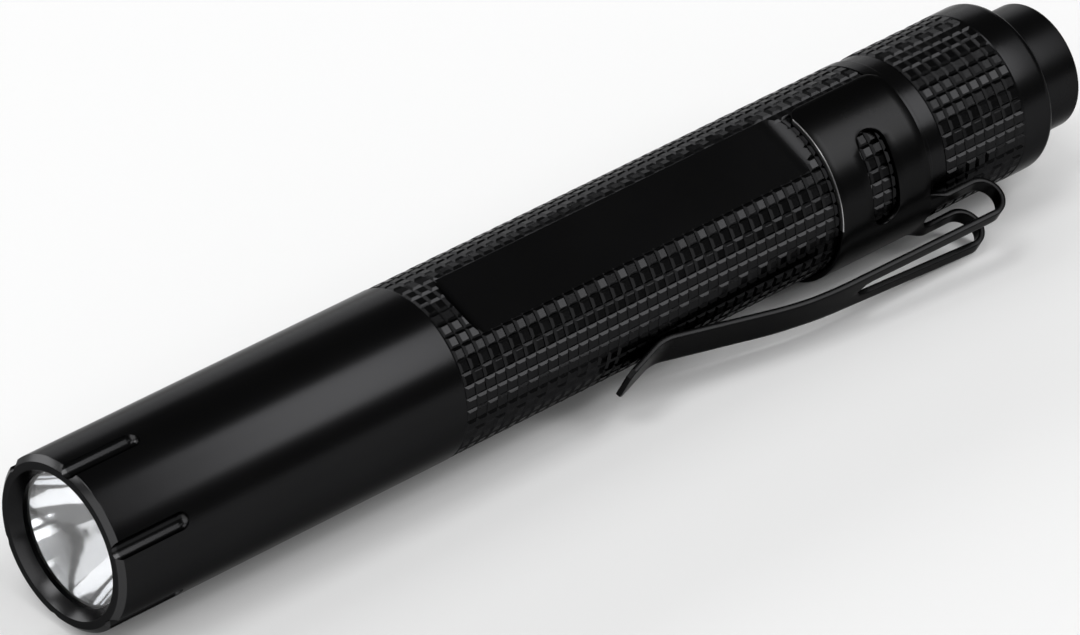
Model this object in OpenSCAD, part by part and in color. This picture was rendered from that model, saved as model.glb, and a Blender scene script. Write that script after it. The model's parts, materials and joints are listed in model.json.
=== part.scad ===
// Pocket penlight lying on its clip.
// The optical axis is +X, the origin is the centre of the head's front face, and the tail points to +X.
// Every sub-part is drawn upright, front face at zero height, and then laid down by one shared module.

/* [Barrel] */
// Outside diameter of the head, the grip and the tail cap
barrel_d = 14; // [12:0.1:17]
// Length of the smooth head
head_len = 33.4; // [32:0.1:38]
// Length of the knurled grip
grip_len = 48; // [40:0.1:60]
// Chamfer of the grip's front edge
grip_edge = 0.4; // [0.4:0.05:0.6]
// Length of the plain collar behind the grip
collar_len = 1.5; // [1:0.1:2.5]
// How far the collar lies below the grip
collar_drop = 0.13; // [0.05:0.01:0.3]
// How far the necks that screw into the head and the cap lie below the grip
neck_drop = 0.85; // [0.8:0.05:0.9]
// Wall of the battery tube at its necks
neck_wall = 0.7; // [0.65:0.05:0.75]
// Length of the front neck
front_neck_len = 6.1; // [4.5:0.1:7]
// Roll of the light as it lies: angle of the clip from straight down
rest_roll = 62.4; // [0:0.1:180]

/* [Bezel] */
// Chamfer of the front edge
bezel_chamfer = 0.45; // [0.2:0.05:0.6]
// Chamfer of the head's rear edge
head_edge = 0.15; // [0.05:0.05:0.3]
// Width of the front face with its chamfer
bezel_w = 1.05; // [0.9:0.05:1.3]
// How far the lip reaches in over the lens
lip_w = 0.55; // [0.4:0.05:0.7]
// Depth of the front lip
lip_depth = 1; // [0.7:0.05:1.5]
// Wall of the head behind the lip
head_wall = 1.1; // [1:0.05:1.15]
// Number of milled grooves round the front edge
groove_count = 6; // [3:1:8]
// Radius of the ball-nose cutter
groove_cutter_r = 0.75; // [0.5:0.05:1]
// Depth of each groove
groove_depth = 0.55; // [0.3:0.05:0.6]
// Length of each groove from the front face
groove_len = 6.8; // [3:0.1:12]
// Angle of the first groove from the clip
groove_phase = 9; // [0:1:60]

/* [Light engine] */
// Thickness of the lens gasket
gasket_t = 0.2; // [0.2:0.05:0.5]
// Width of the lens gasket
gasket_w = 0.55; // [0.45:0.05:0.65]
// Thickness of the lens
lens_t = 0.8; // [0.6:0.1:1.5]
// Depth of the reflector
reflector_len = 6.7; // [5:0.1:8]
// Width of the rim round the reflector's mouth
reflector_rim_w = 0.6; // [0.5:0.05:1]
// Diameter of the reflector's throat
reflector_throat_d = 3.2; // [2.8:0.1:3.3]
// Height of the reflector's front flange
reflector_flange_t = 1.2; // [0.8:0.1:2]
// Outside diameter of the reflector's rear end
reflector_tail_d = 6.4; // [5:0.1:7.5]
// Width of the square LED package
led_base_w = 3.4; // [2.5:0.1:3.5]
// Height of the LED package
led_base_t = 0.7; // [0.5:0.05:1]
// Diameter of the LED's dome
led_dome_d = 2.5; // [2:0.1:2.7]
// How far the LED's centring insulator lies inside the edge of its board
insulator_inset = 0.5; // [0.1:0.1:1]
// Gap between the LED board and the head's bore
led_board_gap = 0.9; // [0.4:0.1:1.2]
// Thickness of the LED board
led_board_t = 1; // [0.8:0.1:1.6]
// Thickness of the pill's heat shelf
pill_shelf_t = 2; // [1:0.1:3]
// Wall of the pill
pill_wall = 0.95; // [0.75:0.05:1.2]
// Depth of the driver's seat in the pill
driver_seat_depth = 1.7; // [1.2:0.1:2.5]
// Wall of the pill round the driver board
driver_wall = 0.55; // [0.4:0.05:0.6]
// Thickness of the driver board
driver_t = 1; // [0.8:0.1:1.6]
// Diameter of an LED lead
lead_d = 0.8; // [0.5:0.1:1]
// Distance between the two LED leads
lead_span = 6.4; // [6:0.1:7]
// Diameter of the driver's inductor
inductor_d = 3; // [2:0.1:3.4]
// Height of the driver's inductor
inductor_h = 2; // [1:0.1:3]
// Length of the driver's chip
chip_l = 3; // [2:0.1:3.2]
// Width of the driver's chip
chip_w = 1.7; // [1:0.1:2]
// Height of the driver's chip
chip_h = 1; // [0.6:0.1:1.5]
// Length of the front contact spring
positive_spring_len = 6.1; // [4:0.1:7]
// Mean diameter of the front contact spring
positive_spring_d = 3.4; // [3:0.1:5]
// Turns of the front contact spring
positive_spring_turns = 4; // [3:1:5]

/* [Cell] */
// Gap between the cell and the battery tube
cell_gap = 0.2; // [0.15:0.05:0.3]
// Thickness of the sleeve
cell_sleeve_t = 0.15; // [0.1:0.05:0.3]
// Wall of the cell's can
cell_can_t = 0.3; // [0.2:0.05:0.5]
// Height of the nub
cell_nub_h = 0.9; // [0.8:0.1:1.2]
// Diameter of the nub
cell_nub_d = 3.8; // [3:0.1:5]
// Thickness of the cell's end caps
cell_cap_t = 0.4; // [0.3:0.05:0.6]
// Width of the seal round the cell's negative cap
cell_seal_w = 0.8; // [0.4:0.1:1.2]

/* [Tail] */
// Length of the tail cap
cap_len = 11.7; // [11:0.1:14]
// Gap between the collar and the cap when it is screwed home
cap_gap = 0.1; // [0.05:0.05:0.3]
// Radius of the cap's rear edge
cap_edge_r = 0.8; // [0.3:0.1:1.1]
// Chamfer of the cap's front edge
cap_chamfer = 0.2; // [0.1:0.05:0.3]
// Thickness of the cap's rear lip
cap_lip_t = 1.5; // [1.2:0.1:2.5]
// Wall of the cap behind the switch
cap_wall = 1.4; // [1.3:0.05:1.45]
// How far the cap's rear lip reaches in over the button's flange
cap_lip_w = 0.3; // [0.25:0.05:0.4]
// Thickness of the switch retaining ring
ring_t = 1.2; // [0.8:0.1:1.6]
// Width of the switch retaining ring
ring_w = 0.85; // [0.7:0.05:1]
// Width of the spanner notches in the retaining ring
ring_notch_w = 1.2; // [0.8:0.1:2]
// Step from the cap's thread down to the switch flange
switch_step = 0.2; // [0.15:0.05:0.35]
// Thickness of the switch flange
switch_flange_t = 0.8; // [0.6:0.1:1.2]
// Gap between the switch housing and its retaining ring
switch_gap = 1.1; // [0.8:0.1:1.8]
// Length of the switch housing
switch_len = 5; // [4.8:0.1:5.5]
// Gap between the switch board and the battery tube
switch_board_gap = 0.35; // [0.3:0.05:0.95]
// Thickness of the switch board
switch_board_t = 0.8; // [0.6:0.1:1.2]
// Diameter of the two switch contacts
contact_d = 0.9; // [0.6:0.1:1.2]
// Distance from the wall of the switch housing to the middle of each contact
contact_inset = 1.4; // [1.1:0.1:2]
// How far the contacts reach into the housing
contact_reach = 1.6; // [1:0.1:2.5]
// Length of the negative spring
negative_spring_len = 7.35; // [6:0.05:9]
// Distance from the edge of the switch board to the negative spring's wire
negative_spring_inset = 1.1; // [0.8:0.1:2]
// Mean diameter of the negative spring at the cell
negative_spring_tip_d = 5.6; // [4:0.1:7]
// Turns of the negative spring
negative_spring_turns = 4; // [3:1:5]
// Diameter of the spring wire
wire_d = 0.5; // [0.4:0.05:0.6]

/* [Button] */
// How far the button stands out of the cap
button_proud = 4.5; // [2:0.1:6]
// Gap between the button and the cap's rear hole
button_gap = 0.1; // [0.05:0.05:0.2]
// Radius of the button's rear edge
button_edge_r = 0.3; // [0.2:0.1:1]
// Thickness of the button's end wall
button_end_t = 1.3; // [1:0.1:2]
// Wall of the button
button_wall = 1.3; // [1:0.1:1.7]
// Thickness of the button's flange
button_flange_t = 0.6; // [0.4:0.1:1]
// Thickness of the button's seal washer
button_seal_t = 0.4; // [0.3:0.1:0.6]
// Travel of the button
button_travel = 1.5; // [1:0.1:1.8]
// Wall of the switch housing round its plunger
switch_wall = 2.55; // [2.2:0.05:3]
// How far the plunger stands in the switch housing
plunger_depth = 2.5; // [1.5:0.1:2.6]
// Distance from the button's bore to the return spring's wire
return_spring_inset = 1.2; // [0.6:0.1:1.5]
// Turns of the return spring
return_spring_turns = 5; // [3:1:6]

/* [Clip] */
// Thickness of the clip's sheet
clip_t = 0.45; // [0.35:0.05:0.6]
// Length of the band along the barrel
band_len = 9.4; // [8:0.1:12]
// Distance from the grip's rear end to the band
band_setback = 0.7; // [0.3:0.1:1.5]
// Angle that the band wraps
band_wrap = 226; // [200:1:260]
// Chamfer of the corners of the band's open ends
band_chamfer = 0.8; // [0.3:0.1:1.5]
// Width of the slots in the band
band_slot_w = 2.8; // [1:0.1:4]
// Angle from the arm to the near end of each slot
band_slot_from = 18; // [16:1:30]
// Angle from the arm to the far end of each slot
band_slot_to = 80; // [50:1:85]
// Width of the clip at the loop
clip_w = 5.7; // [4.5:0.1:6]
// Width of the clip from its shoulder to its tip
clip_tip_w = 3.5; // [3:0.1:4]
// Height of the tongue's underside above the band's
tongue_lift = 0.12; // [0.06:0.02:0.2]
// Length of the tongue's root on the band
tongue_root = 1.5; // [1:0.1:2]
// Mean radius of the loop
loop_r = 1.55; // [1.2:0.05:1.8]
// Distance from the band's rear edge to the loop's centre
loop_reach = 4.1; // [3:0.1:6]
// Distance from the loop's centre to the arm's shoulder
shoulder_reach = 18.5; // [14:0.5:22]
// Drop of the arm from the loop to its shoulder
shoulder_drop = 0.55; // [0.2:0.05:0.8]
// Radius of the arm's shoulder
shoulder_bend_r = 45; // [15:1:50]
// Distance from the loop's centre to the heel
heel_reach = 31.8; // [26:0.1:38]
// Radius of the heel
heel_bend_r = 4; // [1.5:0.1:5]
// Distance from the heel to the tip
tip_reach = 4.5; // [3.5:0.1:7]
// Rise of the tip above the heel
tip_rise = 1.4; // [0.8:0.05:2.2]
// Chamfer of the tip's corners
tip_chamfer = 0.4; // [0.2:0.1:1]
// Width of each rail beside the long slot
rail_w = 1.3; // [0.8:0.1:1.4]
// Distance from the loop's centre to the front end of the long slot
rail_slot_reach = 12.8; // [8:0.1:14]

/* [Flat panel] */
// Depth of the milled flat
panel_depth = 0.79; // [0.4:0.01:0.9]
// Distance from the grip's front end to the flat
panel_setback = 3.7; // [2.5:0.1:5]
// Distance from the flat to the clip's band
panel_band_gap = 2.3; // [2:0.1:10]
// Radius of the cutter that leaves the ramps
panel_cutter_r = 1.64; // [1:0.02:2.2]
// Angle from the clip to the middle of the flat
panel_angle = -97; // [-180:1:180]

/* [Seals] */
// Section diameter of the O-rings
o_ring_d = 0.7; // [0.6:0.05:0.75]
// Depth of the O-ring grooves
o_ring_groove_depth = 0.37; // [0.35:0.01:0.4]
// Width of the O-ring grooves
o_ring_groove_w = 0.9; // [0.8:0.05:1.2]
// Distance from the shoulder to the middle of the O-ring groove
o_ring_setback = 0.9; // [0.7:0.05:1.2]

/* [Hidden] */
$fn = 64;

// Clearances and the overrun of every cut
thread_clear = 0.05;
seat_clear = 0.05;
slide_clear = 0.05;
seal_clear = 0.03;
band_clear = 0.04;
heel_clear = 0.06;
stop_gap = 0.1;
turn_gap = 0.05;
neck_gap = 0.3;
cut_over = 1;

// Angles
quarter_turn = 90;
half_turn = 180;
full_turn = 360;

// Radii that several pieces share
barrel_r = barrel_d / 2;
collar_r = barrel_r - collar_drop;
neck_r = barrel_r - neck_drop;
tube_bore_r = neck_r - neck_wall;
thread_bore_r = neck_r + thread_clear;
head_bore_r = barrel_r - head_wall;
module_r = head_bore_r - seat_clear;
led_board_r = head_bore_r - led_board_gap;
pill_bore_r = module_r - pill_wall;
driver_r = module_r - driver_wall - seat_clear;
o_ring_r = o_ring_d / 2;
o_ring_floor_r = neck_r - o_ring_groove_depth;
o_ring_mid_r = o_ring_floor_r + o_ring_r + seal_clear;
seal_bore_r = o_ring_mid_r + o_ring_r + seal_clear;
seal_bore_len = o_ring_setback + o_ring_groove_w;
cell_r = tube_bore_r - cell_gap;
can_r = cell_r - cell_sleeve_t;
cell_negative_r = can_r - cell_seal_w;
cap_bore_r = barrel_r - cap_wall;
cap_hole_r = cap_bore_r - cap_lip_w;
button_r = cap_hole_r - button_gap;
button_bore_r = button_r - button_wall;
button_flange_r = cap_bore_r - slide_clear;
ring_bore_r = neck_r - ring_w;
switch_flange_r = neck_r - switch_step;
switch_r = ring_bore_r - switch_gap;
switch_board_r = tube_bore_r - switch_board_gap;
contact_r = contact_d / 2;
contact_place_r = switch_r - contact_inset;
plunger_bore_r = switch_r - switch_wall;
plunger_r = plunger_bore_r - slide_clear;

// Heights of the light engine, from the front face
gasket_z = lip_depth + lens_t;
reflector_z = gasket_z + gasket_t;
insulator_z = reflector_z + reflector_len;
led_board_z = insulator_z + led_base_t;
pill_z = led_board_z + led_board_t;
neck_z = head_len - front_neck_len;
pill_end_z = neck_z - stop_gap;
driver_z = pill_end_z - driver_seat_depth;
driver_end_z = driver_z + driver_t;
cell_z = driver_end_z + positive_spring_len;

// Heights of the tail
grip_end_z = head_len + grip_len;
collar_end_z = grip_end_z + collar_len;
cap_z = collar_end_z + cap_gap;
cap_end_z = cap_z + cap_len;
lip_z = cap_end_z - cap_lip_t;
button_seal_z = lip_z - stop_gap - button_seal_t;
button_flange_z = button_seal_z - button_flange_t;
button_end_z = cap_end_z + button_proud;
button_inner_z = button_end_z - button_end_t;
switch_end_z = button_flange_z - button_travel - neck_gap;
switch_flange_z = switch_end_z - switch_flange_t;
switch_z = switch_end_z - switch_len;
switch_board_z = switch_z - switch_board_t;
negative_spring_z = switch_board_z - negative_spring_len;
cell_end_z = negative_spring_z - turn_gap;
ring_z = switch_flange_z - turn_gap - ring_t;
rear_neck_end_z = ring_z - neck_gap;

// Clip: its sheet lies on the barrel, and its arm returns along the outside
band_in_r = barrel_r + band_clear;
tongue_in_r = band_in_r + tongue_lift;
tongue_r = tongue_in_r + clip_t / 2;
loop_mid_r = tongue_r + loop_r;
arm_r = loop_mid_r + loop_r;
band_end_z = grip_end_z - band_setback;
band_z = band_end_z - band_len;
loop_z = band_end_z + loop_reach;
shoulder_z = loop_z - shoulder_reach;
heel_z = loop_z - heel_reach;
tip_z = heel_z - tip_reach;
shoulder_r = arm_r - shoulder_drop;
heel_slope = atan((shoulder_r - barrel_r) / (heel_reach - shoulder_reach));
heel_half = (heel_slope + atan(tip_rise / tip_reach)) / 2;
heel_sag = heel_bend_r / cos(heel_half) - heel_bend_r;
heel_r = barrel_r + heel_clear + clip_t / 2 - heel_sag;
bend_steps = 8;

// The shoulder's bend is limited by the straights beside it
shoulder_half = (heel_slope - atan(shoulder_drop / shoulder_reach)) / 2;
ramp_len = (heel_reach - shoulder_reach) / cos(heel_slope);
shoulder_room = min(shoulder_reach, ramp_len - heel_bend_r * tan(heel_half) - clip_t);
shoulder_fit_r = min(shoulder_bend_r, shoulder_room / tan(shoulder_half));

// Lay the upright light down along +X with its clip rolled off straight down
module lay() {
    rotate([-rest_roll, 0, 0])
        rotate([0, quarter_turn, 0])
            children();
}

module tube(outer_r, inner_r, z, len) {
    rotate_extrude()
        translate([inner_r, z])
            square([outer_r - inner_r, len]);
}

module disc(r, z, len) {
    translate([0, 0, z])
        cylinder(r = r, h = len);
}

// Round bar with a rounded rear edge, as a half section
module bar_section(r, z, end_z, edge_r) {
    translate([0, z])
        square([r, end_z - z - edge_r]);
    translate([0, z])
        square([r - edge_r, end_z - z]);
    translate([r - edge_r, end_z - edge_r])
        circle(r = edge_r);
}

module o_ring(z) {
    rotate_extrude()
        translate([o_ring_mid_r, z])
            circle(r = o_ring_r);
}

module o_ring_groove(z) {
    tube(neck_r + cut_over, o_ring_floor_r, z - o_ring_groove_w / 2, o_ring_groove_w);
}

// Coil springs: one tube of wire_sides sides swept along a helix whose radius may taper
rings_per_turn = 8;
wire_sides = 6;

function helix(base_r, tip_r, z, len, turns) = [
    for (i = [0 : turns * rings_per_turn])
        let (share = i / (turns * rings_per_turn), a = full_turn * turns * share)
            concat((base_r + (tip_r - base_r) * share) * [cos(a), sin(a)],
                [z + wire_d / 2 + (len - wire_d) * share])
];

function wire_ring(p) = [
    for (k = [0 : wire_sides - 1])
        let (a = full_turn * k / wire_sides, out = [p[0], p[1]] / norm([p[0], p[1]]))
            concat([p[0], p[1]] + out * cos(a) * wire_d / 2, [p[2] + sin(a) * wire_d / 2])
];

function least_gap(path) = min([
    for (i = [0 : len(path) - rings_per_turn])
        for (j = [i + rings_per_turn - 2 : len(path) - 1])
            norm(path[j] - path[i])
]) - wire_d;

module spring(label, base_r, tip_r, z, len, turns) {
    path = helix(base_r, tip_r, z, len, turns);
    last = len(path) - 1;
    echo(str(label, " least gap between turns"), least_gap(path));
    points = [for (p = path) each wire_ring(p)];
    sides = [
        for (i = [0 : last - 1])
            for (k = [0 : wire_sides - 1])
                let (a = i * wire_sides + k, b = i * wire_sides + (k + 1) % wire_sides)
                    each [[a, a + wire_sides, b], [b, a + wire_sides, b + wire_sides]]
    ];
    ends = [
        for (k = [1 : wire_sides - 2])
            each [[0, k, k + 1], last * wire_sides * [1, 1, 1] + [0, k + 1, k]]
    ];
    polyhedron(points = points, faces = concat(sides, ends));
}

// Head

module head_section() {
    polygon([
        [barrel_r - bezel_w, 0],
        [barrel_r - bezel_chamfer, 0],
        [barrel_r, bezel_chamfer],
        [barrel_r, head_len - head_edge],
        [barrel_r - head_edge, head_len],
        [seal_bore_r, head_len],
        [seal_bore_r, head_len - seal_bore_len],
        [thread_bore_r, head_len - seal_bore_len],
        [thread_bore_r, pill_end_z],
        [head_bore_r, pill_end_z],
        [head_bore_r, lip_depth],
        [head_bore_r - lip_w, lip_depth],
    ]);
}

module bezel_groove() {
    centre_r = barrel_r - groove_depth + groove_cutter_r;
    rise = groove_cutter_r - groove_depth;
    ball_z = groove_len - sqrt(groove_cutter_r ^ 2 - rise ^ 2);
    translate([centre_r, 0, -cut_over])
        cylinder(r = groove_cutter_r, h = ball_z + cut_over);
    translate([centre_r, 0, ball_z])
        sphere(r = groove_cutter_r);
}

module head_shell() {
    color("#1b1b1d") lay() difference() {
        rotate_extrude() head_section();
        for (i = [0 : groove_count - 1])
            rotate([0, 0, groove_phase + full_turn * i / groove_count])
                bezel_groove();
    }
}

module lens_gasket() {
    color("#101010") lay() tube(module_r, module_r - gasket_w, gasket_z, gasket_t);
}

module lens() {
    color("#dfe8ee", 0.4) lay() disc(module_r, lip_depth, lens_t);
}

// Parabola from the mouth to the throat
reflector_steps = 12;
mouth_r = module_r - reflector_rim_w;
throat_r = reflector_throat_d / 2;
function mirror_r(share) = sqrt(mouth_r ^ 2 + (throat_r ^ 2 - mouth_r ^ 2) * share);

module reflector() {
    curve = [
        for (i = [reflector_steps : -1 : 0])
            let (share = i / reflector_steps)
                [mirror_r(share), reflector_z + reflector_len * share]
    ];
    outside = [
        [module_r, reflector_z],
        [module_r, reflector_z + reflector_flange_t],
        [reflector_tail_d / 2, insulator_z],
    ];
    color("#d9dadb") lay() rotate_extrude() polygon(concat(outside, curve));
}

module led_insulator() {
    hole_w = led_base_w + 2 * seat_clear;
    color("#e8e8e4") lay() difference() {
        disc(led_board_r - insulator_inset, insulator_z, led_base_t);
        translate([-hole_w / 2, -hole_w / 2, insulator_z - cut_over])
            cube([hole_w, hole_w, led_base_t + 2 * cut_over]);
    }
}

module led_base() {
    color("#f0efe6") lay()
        translate([-led_base_w / 2, -led_base_w / 2, insulator_z])
            cube([led_base_w, led_base_w, led_base_t]);
}

module led_dome() {
    dome_r = led_dome_d / 2;
    color("#f2e27a") lay() intersection() {
        translate([0, 0, insulator_z])
            sphere(r = dome_r);
        disc(led_dome_d, insulator_z - led_dome_d, led_dome_d);
    }
}

module led_board() {
    color("#f4f4f0") lay() disc(led_board_r, led_board_z, led_board_t);
}

module each_lead() {
    for (side = [-1, 1])
        translate([side * lead_span / 2, 0, 0])
            children();
}

module pill() {
    color("#b8934a") lay() difference() {
        disc(module_r, pill_z, pill_end_z - pill_z);
        disc(pill_bore_r, pill_z + pill_shelf_t, pill_end_z - pill_z);
        disc(driver_r + seat_clear, driver_z, driver_seat_depth + cut_over);
        each_lead() disc(lead_d / 2 + seat_clear, pill_z - cut_over, pill_shelf_t + 2 * cut_over);
    }
}

module led_leads() {
    color("#b3261e") lay() each_lead() disc(lead_d / 2, pill_z, driver_z - pill_z);
}

module driver_board() {
    color("#1f6b3a") lay() disc(driver_r, driver_z, driver_t);
}

module driver_components() {
    color("#2a2a2c") lay() {
        translate([0, pill_bore_r / 2, 0])
            disc(inductor_d / 2, driver_z - inductor_h, inductor_h);
        translate([-chip_l / 2, -pill_bore_r / 2 - chip_w / 2, driver_z - chip_h])
            cube([chip_l, chip_w, chip_h]);
    }
}

module positive_spring() {
    r = positive_spring_d / 2;
    color("#c9a45a") lay()
        spring("positive_spring", r, r, driver_end_z, positive_spring_len, positive_spring_turns);
}

module head_o_ring() {
    color("#121212") lay() o_ring(head_len - o_ring_setback);
}

// Grip

module body_section() {
    polygon([
        [tube_bore_r, neck_z],
        [neck_r, neck_z],
        [neck_r, head_len],
        [barrel_r - grip_edge, head_len],
        [barrel_r, head_len + grip_edge],
        [barrel_r, grip_end_z],
        [collar_r, grip_end_z],
        [collar_r, collar_end_z],
        [neck_r, collar_end_z],
        [neck_r, rear_neck_end_z],
        [tube_bore_r, rear_neck_end_z],
    ]);
}

// Flat left by a side cutter, with a concave ramp at each end
module panel_cut() {
    floor_r = barrel_r - panel_depth;
    start_z = head_len + panel_setback;
    panel_len = band_z - panel_band_gap - start_z;
    translate([floor_r, -barrel_r, start_z])
        cube([panel_cutter_r, barrel_d, panel_len]);
    for (z = [start_z, start_z + panel_len])
        translate([floor_r + panel_cutter_r, barrel_r, z])
            rotate([quarter_turn, 0, 0])
                cylinder(r = panel_cutter_r, h = barrel_d);
}

module body_tube() {
    color("#1b1b1d") lay() difference() {
        rotate_extrude() body_section();
        o_ring_groove(head_len - o_ring_setback);
        o_ring_groove(collar_end_z + o_ring_setback);
        rotate([0, 0, panel_angle]) panel_cut();
    }
}

// Cell

can_z = cell_z + cell_nub_h;
can_end_z = cell_end_z - cell_cap_t;

module cell_can() {
    color("#9a9c9f") lay() difference() {
        disc(can_r, can_z, can_end_z - can_z);
        disc(can_r - cell_can_t, can_z + cell_can_t, can_end_z - can_z);
    }
}

module cell_core() {
    core_z = can_z + cell_can_t;
    color("#3a3a3a") lay() disc(can_r - cell_can_t - seat_clear, core_z, can_end_z - core_z);
}

module cell_sleeve() {
    color("#2f4f6b") lay() tube(cell_r, can_r, can_z, cell_end_z - can_z);
}

module cell_positive_cap() {
    color("#b9bbbe") lay() disc(cell_nub_d / 2, cell_z, cell_nub_h);
}

module cell_seal() {
    color("#3b3b3d") lay() tube(can_r - seat_clear, cell_negative_r + seat_clear, can_end_z, cell_cap_t);
}

module cell_negative_cap() {
    color("#b9bbbe") lay() disc(cell_negative_r, can_end_z, cell_cap_t);
}

// Tail

module tail_o_ring() {
    color("#121212") lay() o_ring(collar_end_z + o_ring_setback);
}

module negative_spring() {
    base_r = switch_board_r - negative_spring_inset;
    color("#c9a45a") lay()
        spring("negative_spring", negative_spring_tip_d / 2, base_r,
            negative_spring_z, negative_spring_len, negative_spring_turns);
}

module each_contact() {
    for (side = [-1, 1])
        translate([side * contact_place_r, 0, 0])
            children();
}

module switch_board() {
    hole_len = switch_board_t + 2 * cut_over;
    color("#1f6b3a") lay() difference() {
        disc(switch_board_r, switch_board_z, switch_board_t);
        each_contact() disc(contact_r + seat_clear, switch_board_z - cut_over, hole_len);
    }
}

module switch_contacts() {
    color("#c9a45a") lay()
        each_contact() disc(contact_r, switch_board_z, switch_board_t + contact_reach);
}

module switch_housing() {
    pocket_z = switch_end_z - plunger_depth - button_travel - neck_gap;
    hole_len = contact_reach + seat_clear + cut_over;
    color("#26282b") lay() difference() {
        union() {
            disc(switch_r, switch_z, switch_len);
            disc(switch_flange_r, switch_flange_z, switch_flange_t);
        }
        disc(plunger_bore_r, pocket_z, switch_end_z - pocket_z + cut_over);
        each_contact() disc(contact_r + seat_clear, switch_z - cut_over, hole_len);
    }
}

module switch_retaining_ring() {
    color("#8d8f92") lay() difference() {
        tube(neck_r, ring_bore_r, ring_z, ring_t);
        translate([-barrel_r, -ring_notch_w / 2, ring_z - cut_over])
            cube([barrel_d, ring_notch_w, cut_over + ring_t / 2]);
    }
}

module cap_inside() {
    rotate_extrude() {
        translate([0, cap_z - cut_over])
            square([seal_bore_r, cut_over + seal_bore_len]);
        translate([0, cap_z])
            square([thread_bore_r, switch_flange_z - turn_gap - cap_z]);
        translate([0, cap_z])
            square([switch_flange_r + slide_clear, switch_end_z + turn_gap - cap_z]);
        translate([0, cap_z])
            square([cap_bore_r, lip_z - cap_z]);
        translate([0, cap_z])
            square([cap_hole_r, cap_len + cut_over]);
    }
}

module tail_cap() {
    color("#1b1b1d") lay() difference() {
        rotate_extrude() difference() {
            bar_section(barrel_r, cap_z, cap_end_z, cap_edge_r);
            polygon([
                [barrel_r - cap_chamfer, cap_z],
                [barrel_r + cut_over, cap_z - cut_over],
                [barrel_r + cut_over, cap_z + cap_chamfer],
                [barrel_r, cap_z + cap_chamfer],
            ]);
        }
        cap_inside();
    }
}

module button() {
    color("#161617") lay() difference() {
        union() {
            rotate_extrude() bar_section(button_r, button_flange_z, button_end_z, button_edge_r);
            disc(button_flange_r, button_flange_z, button_flange_t);
        }
        disc(button_bore_r, button_flange_z - cut_over, button_inner_z - button_flange_z + cut_over);
    }
}

module switch_plunger() {
    start_z = switch_end_z - plunger_depth;
    color("#c23b2e") lay() disc(plunger_r, start_z, button_inner_z - start_z);
}

module button_return_spring() {
    r = button_bore_r - return_spring_inset;
    spring_len = button_inner_z - switch_end_z;
    color("#b9bbbe") lay()
        spring("button_return_spring", r, r, switch_end_z, spring_len, return_spring_turns);
}

module button_seal() {
    color("#121212") lay()
        tube(button_flange_r, button_r + seal_clear, button_seal_z, button_seal_t);
}

// Clip

// Points of a rounded corner on a polyline, from one straight to the next
function corner(before, apex, after, bend_r) =
    let (
        u = (before - apex) / norm(before - apex),
        v = (after - apex) / norm(after - apex),
        half = acos(u * v) / 2,
        centre = apex + (u + v) / norm(u + v) * bend_r / sin(half),
        reach = bend_r / tan(half),
        from = apex + u * reach - centre,
        to = apex + v * reach - centre,
        sweep = acos(from * to / bend_r ^ 2)
    )
    [for (i = [0 : bend_steps])
        let (a = sweep * i / bend_steps)
            centre + (from * sin(sweep - a) + to * sin(a)) / sin(sweep)];

function normal(a, b) = [b[1] - a[1], a[0] - b[0]] / norm(b - a);

// Side of a ribbon: each point moved along the mean of its two normals
function ribbon_side(path, off) = [
    for (i = [0 : len(path) - 1])
        let (
            n0 = normal(path[max(i - 1, 0)], path[max(i, 1)]),
            n1 = normal(path[min(i, len(path) - 2)], path[min(i + 1, len(path) - 1)]),
            mean = (n0 + n1) / norm(n0 + n1)
        )
        path[i] + mean * off / (mean * n0)
];

module ribbon(path) {
    outer = ribbon_side(path, clip_t / 2);
    inner = ribbon_side(path, -clip_t / 2);
    polygon(concat(outer, [for (i = [len(path) - 1 : -1 : 0]) inner[i]]));
}

arm_path = let (
    start = [arm_r, loop_z],
    shoulder = [shoulder_r, shoulder_z],
    heel = [heel_r, heel_z],
    tip = [heel_r + tip_rise, tip_z]
)
concat(
    [start],
    corner(start, shoulder, heel, shoulder_fit_r),
    corner(shoulder, heel, tip, heel_bend_r),
    [tip]
);

// Draw a section given as radius and height, and give it the clip's width
module across(width) {
    rotate([quarter_turn, 0, 0])
        linear_extrude(width, center = true)
            children();
}

// Half of the loop's bend: the inner half belongs to the band, the outer half to the arm
module loop_section(outer) {
    reach = loop_r + clip_t;
    translate([loop_mid_r, loop_z]) intersection() {
        difference() {
            circle(r = loop_r + clip_t / 2);
            circle(r = loop_r - clip_t / 2);
        }
        translate([outer ? 0 : -reach, 0])
            square([reach, reach]);
    }
}

// Wedge of the band's open side
module band_opening() {
    open_half = (full_turn - band_wrap) / 2;
    reach = 2 * barrel_r;
    translate([0, 0, band_z - cut_over])
        linear_extrude(band_len + 2 * cut_over)
            polygon([
                [0, 0],
                reach * [-cos(open_half), sin(open_half)],
                [-reach, barrel_r],
                [-reach, -barrel_r],
                reach * [-cos(open_half), -sin(open_half)],
            ]);
}

// Slot that follows the band
module band_slot() {
    rotate([0, 0, band_slot_from])
        rotate_extrude(angle = band_slot_to - band_slot_from)
            translate([band_in_r - cut_over, band_z + (band_len - band_slot_w) / 2])
                square([clip_t + 2 * cut_over, band_slot_w]);
}

// Prism that takes the corner off the band's open end
module band_corner_cut() {
    translate([band_in_r - cut_over, 0, 0])
        rotate([quarter_turn, 0, quarter_turn])
            linear_extrude(clip_t + 2 * cut_over)
                polygon([
                    [-band_chamfer - cut_over, -cut_over],
                    [cut_over, -cut_over],
                    [cut_over, band_chamfer + cut_over],
                ]);
}

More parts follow.
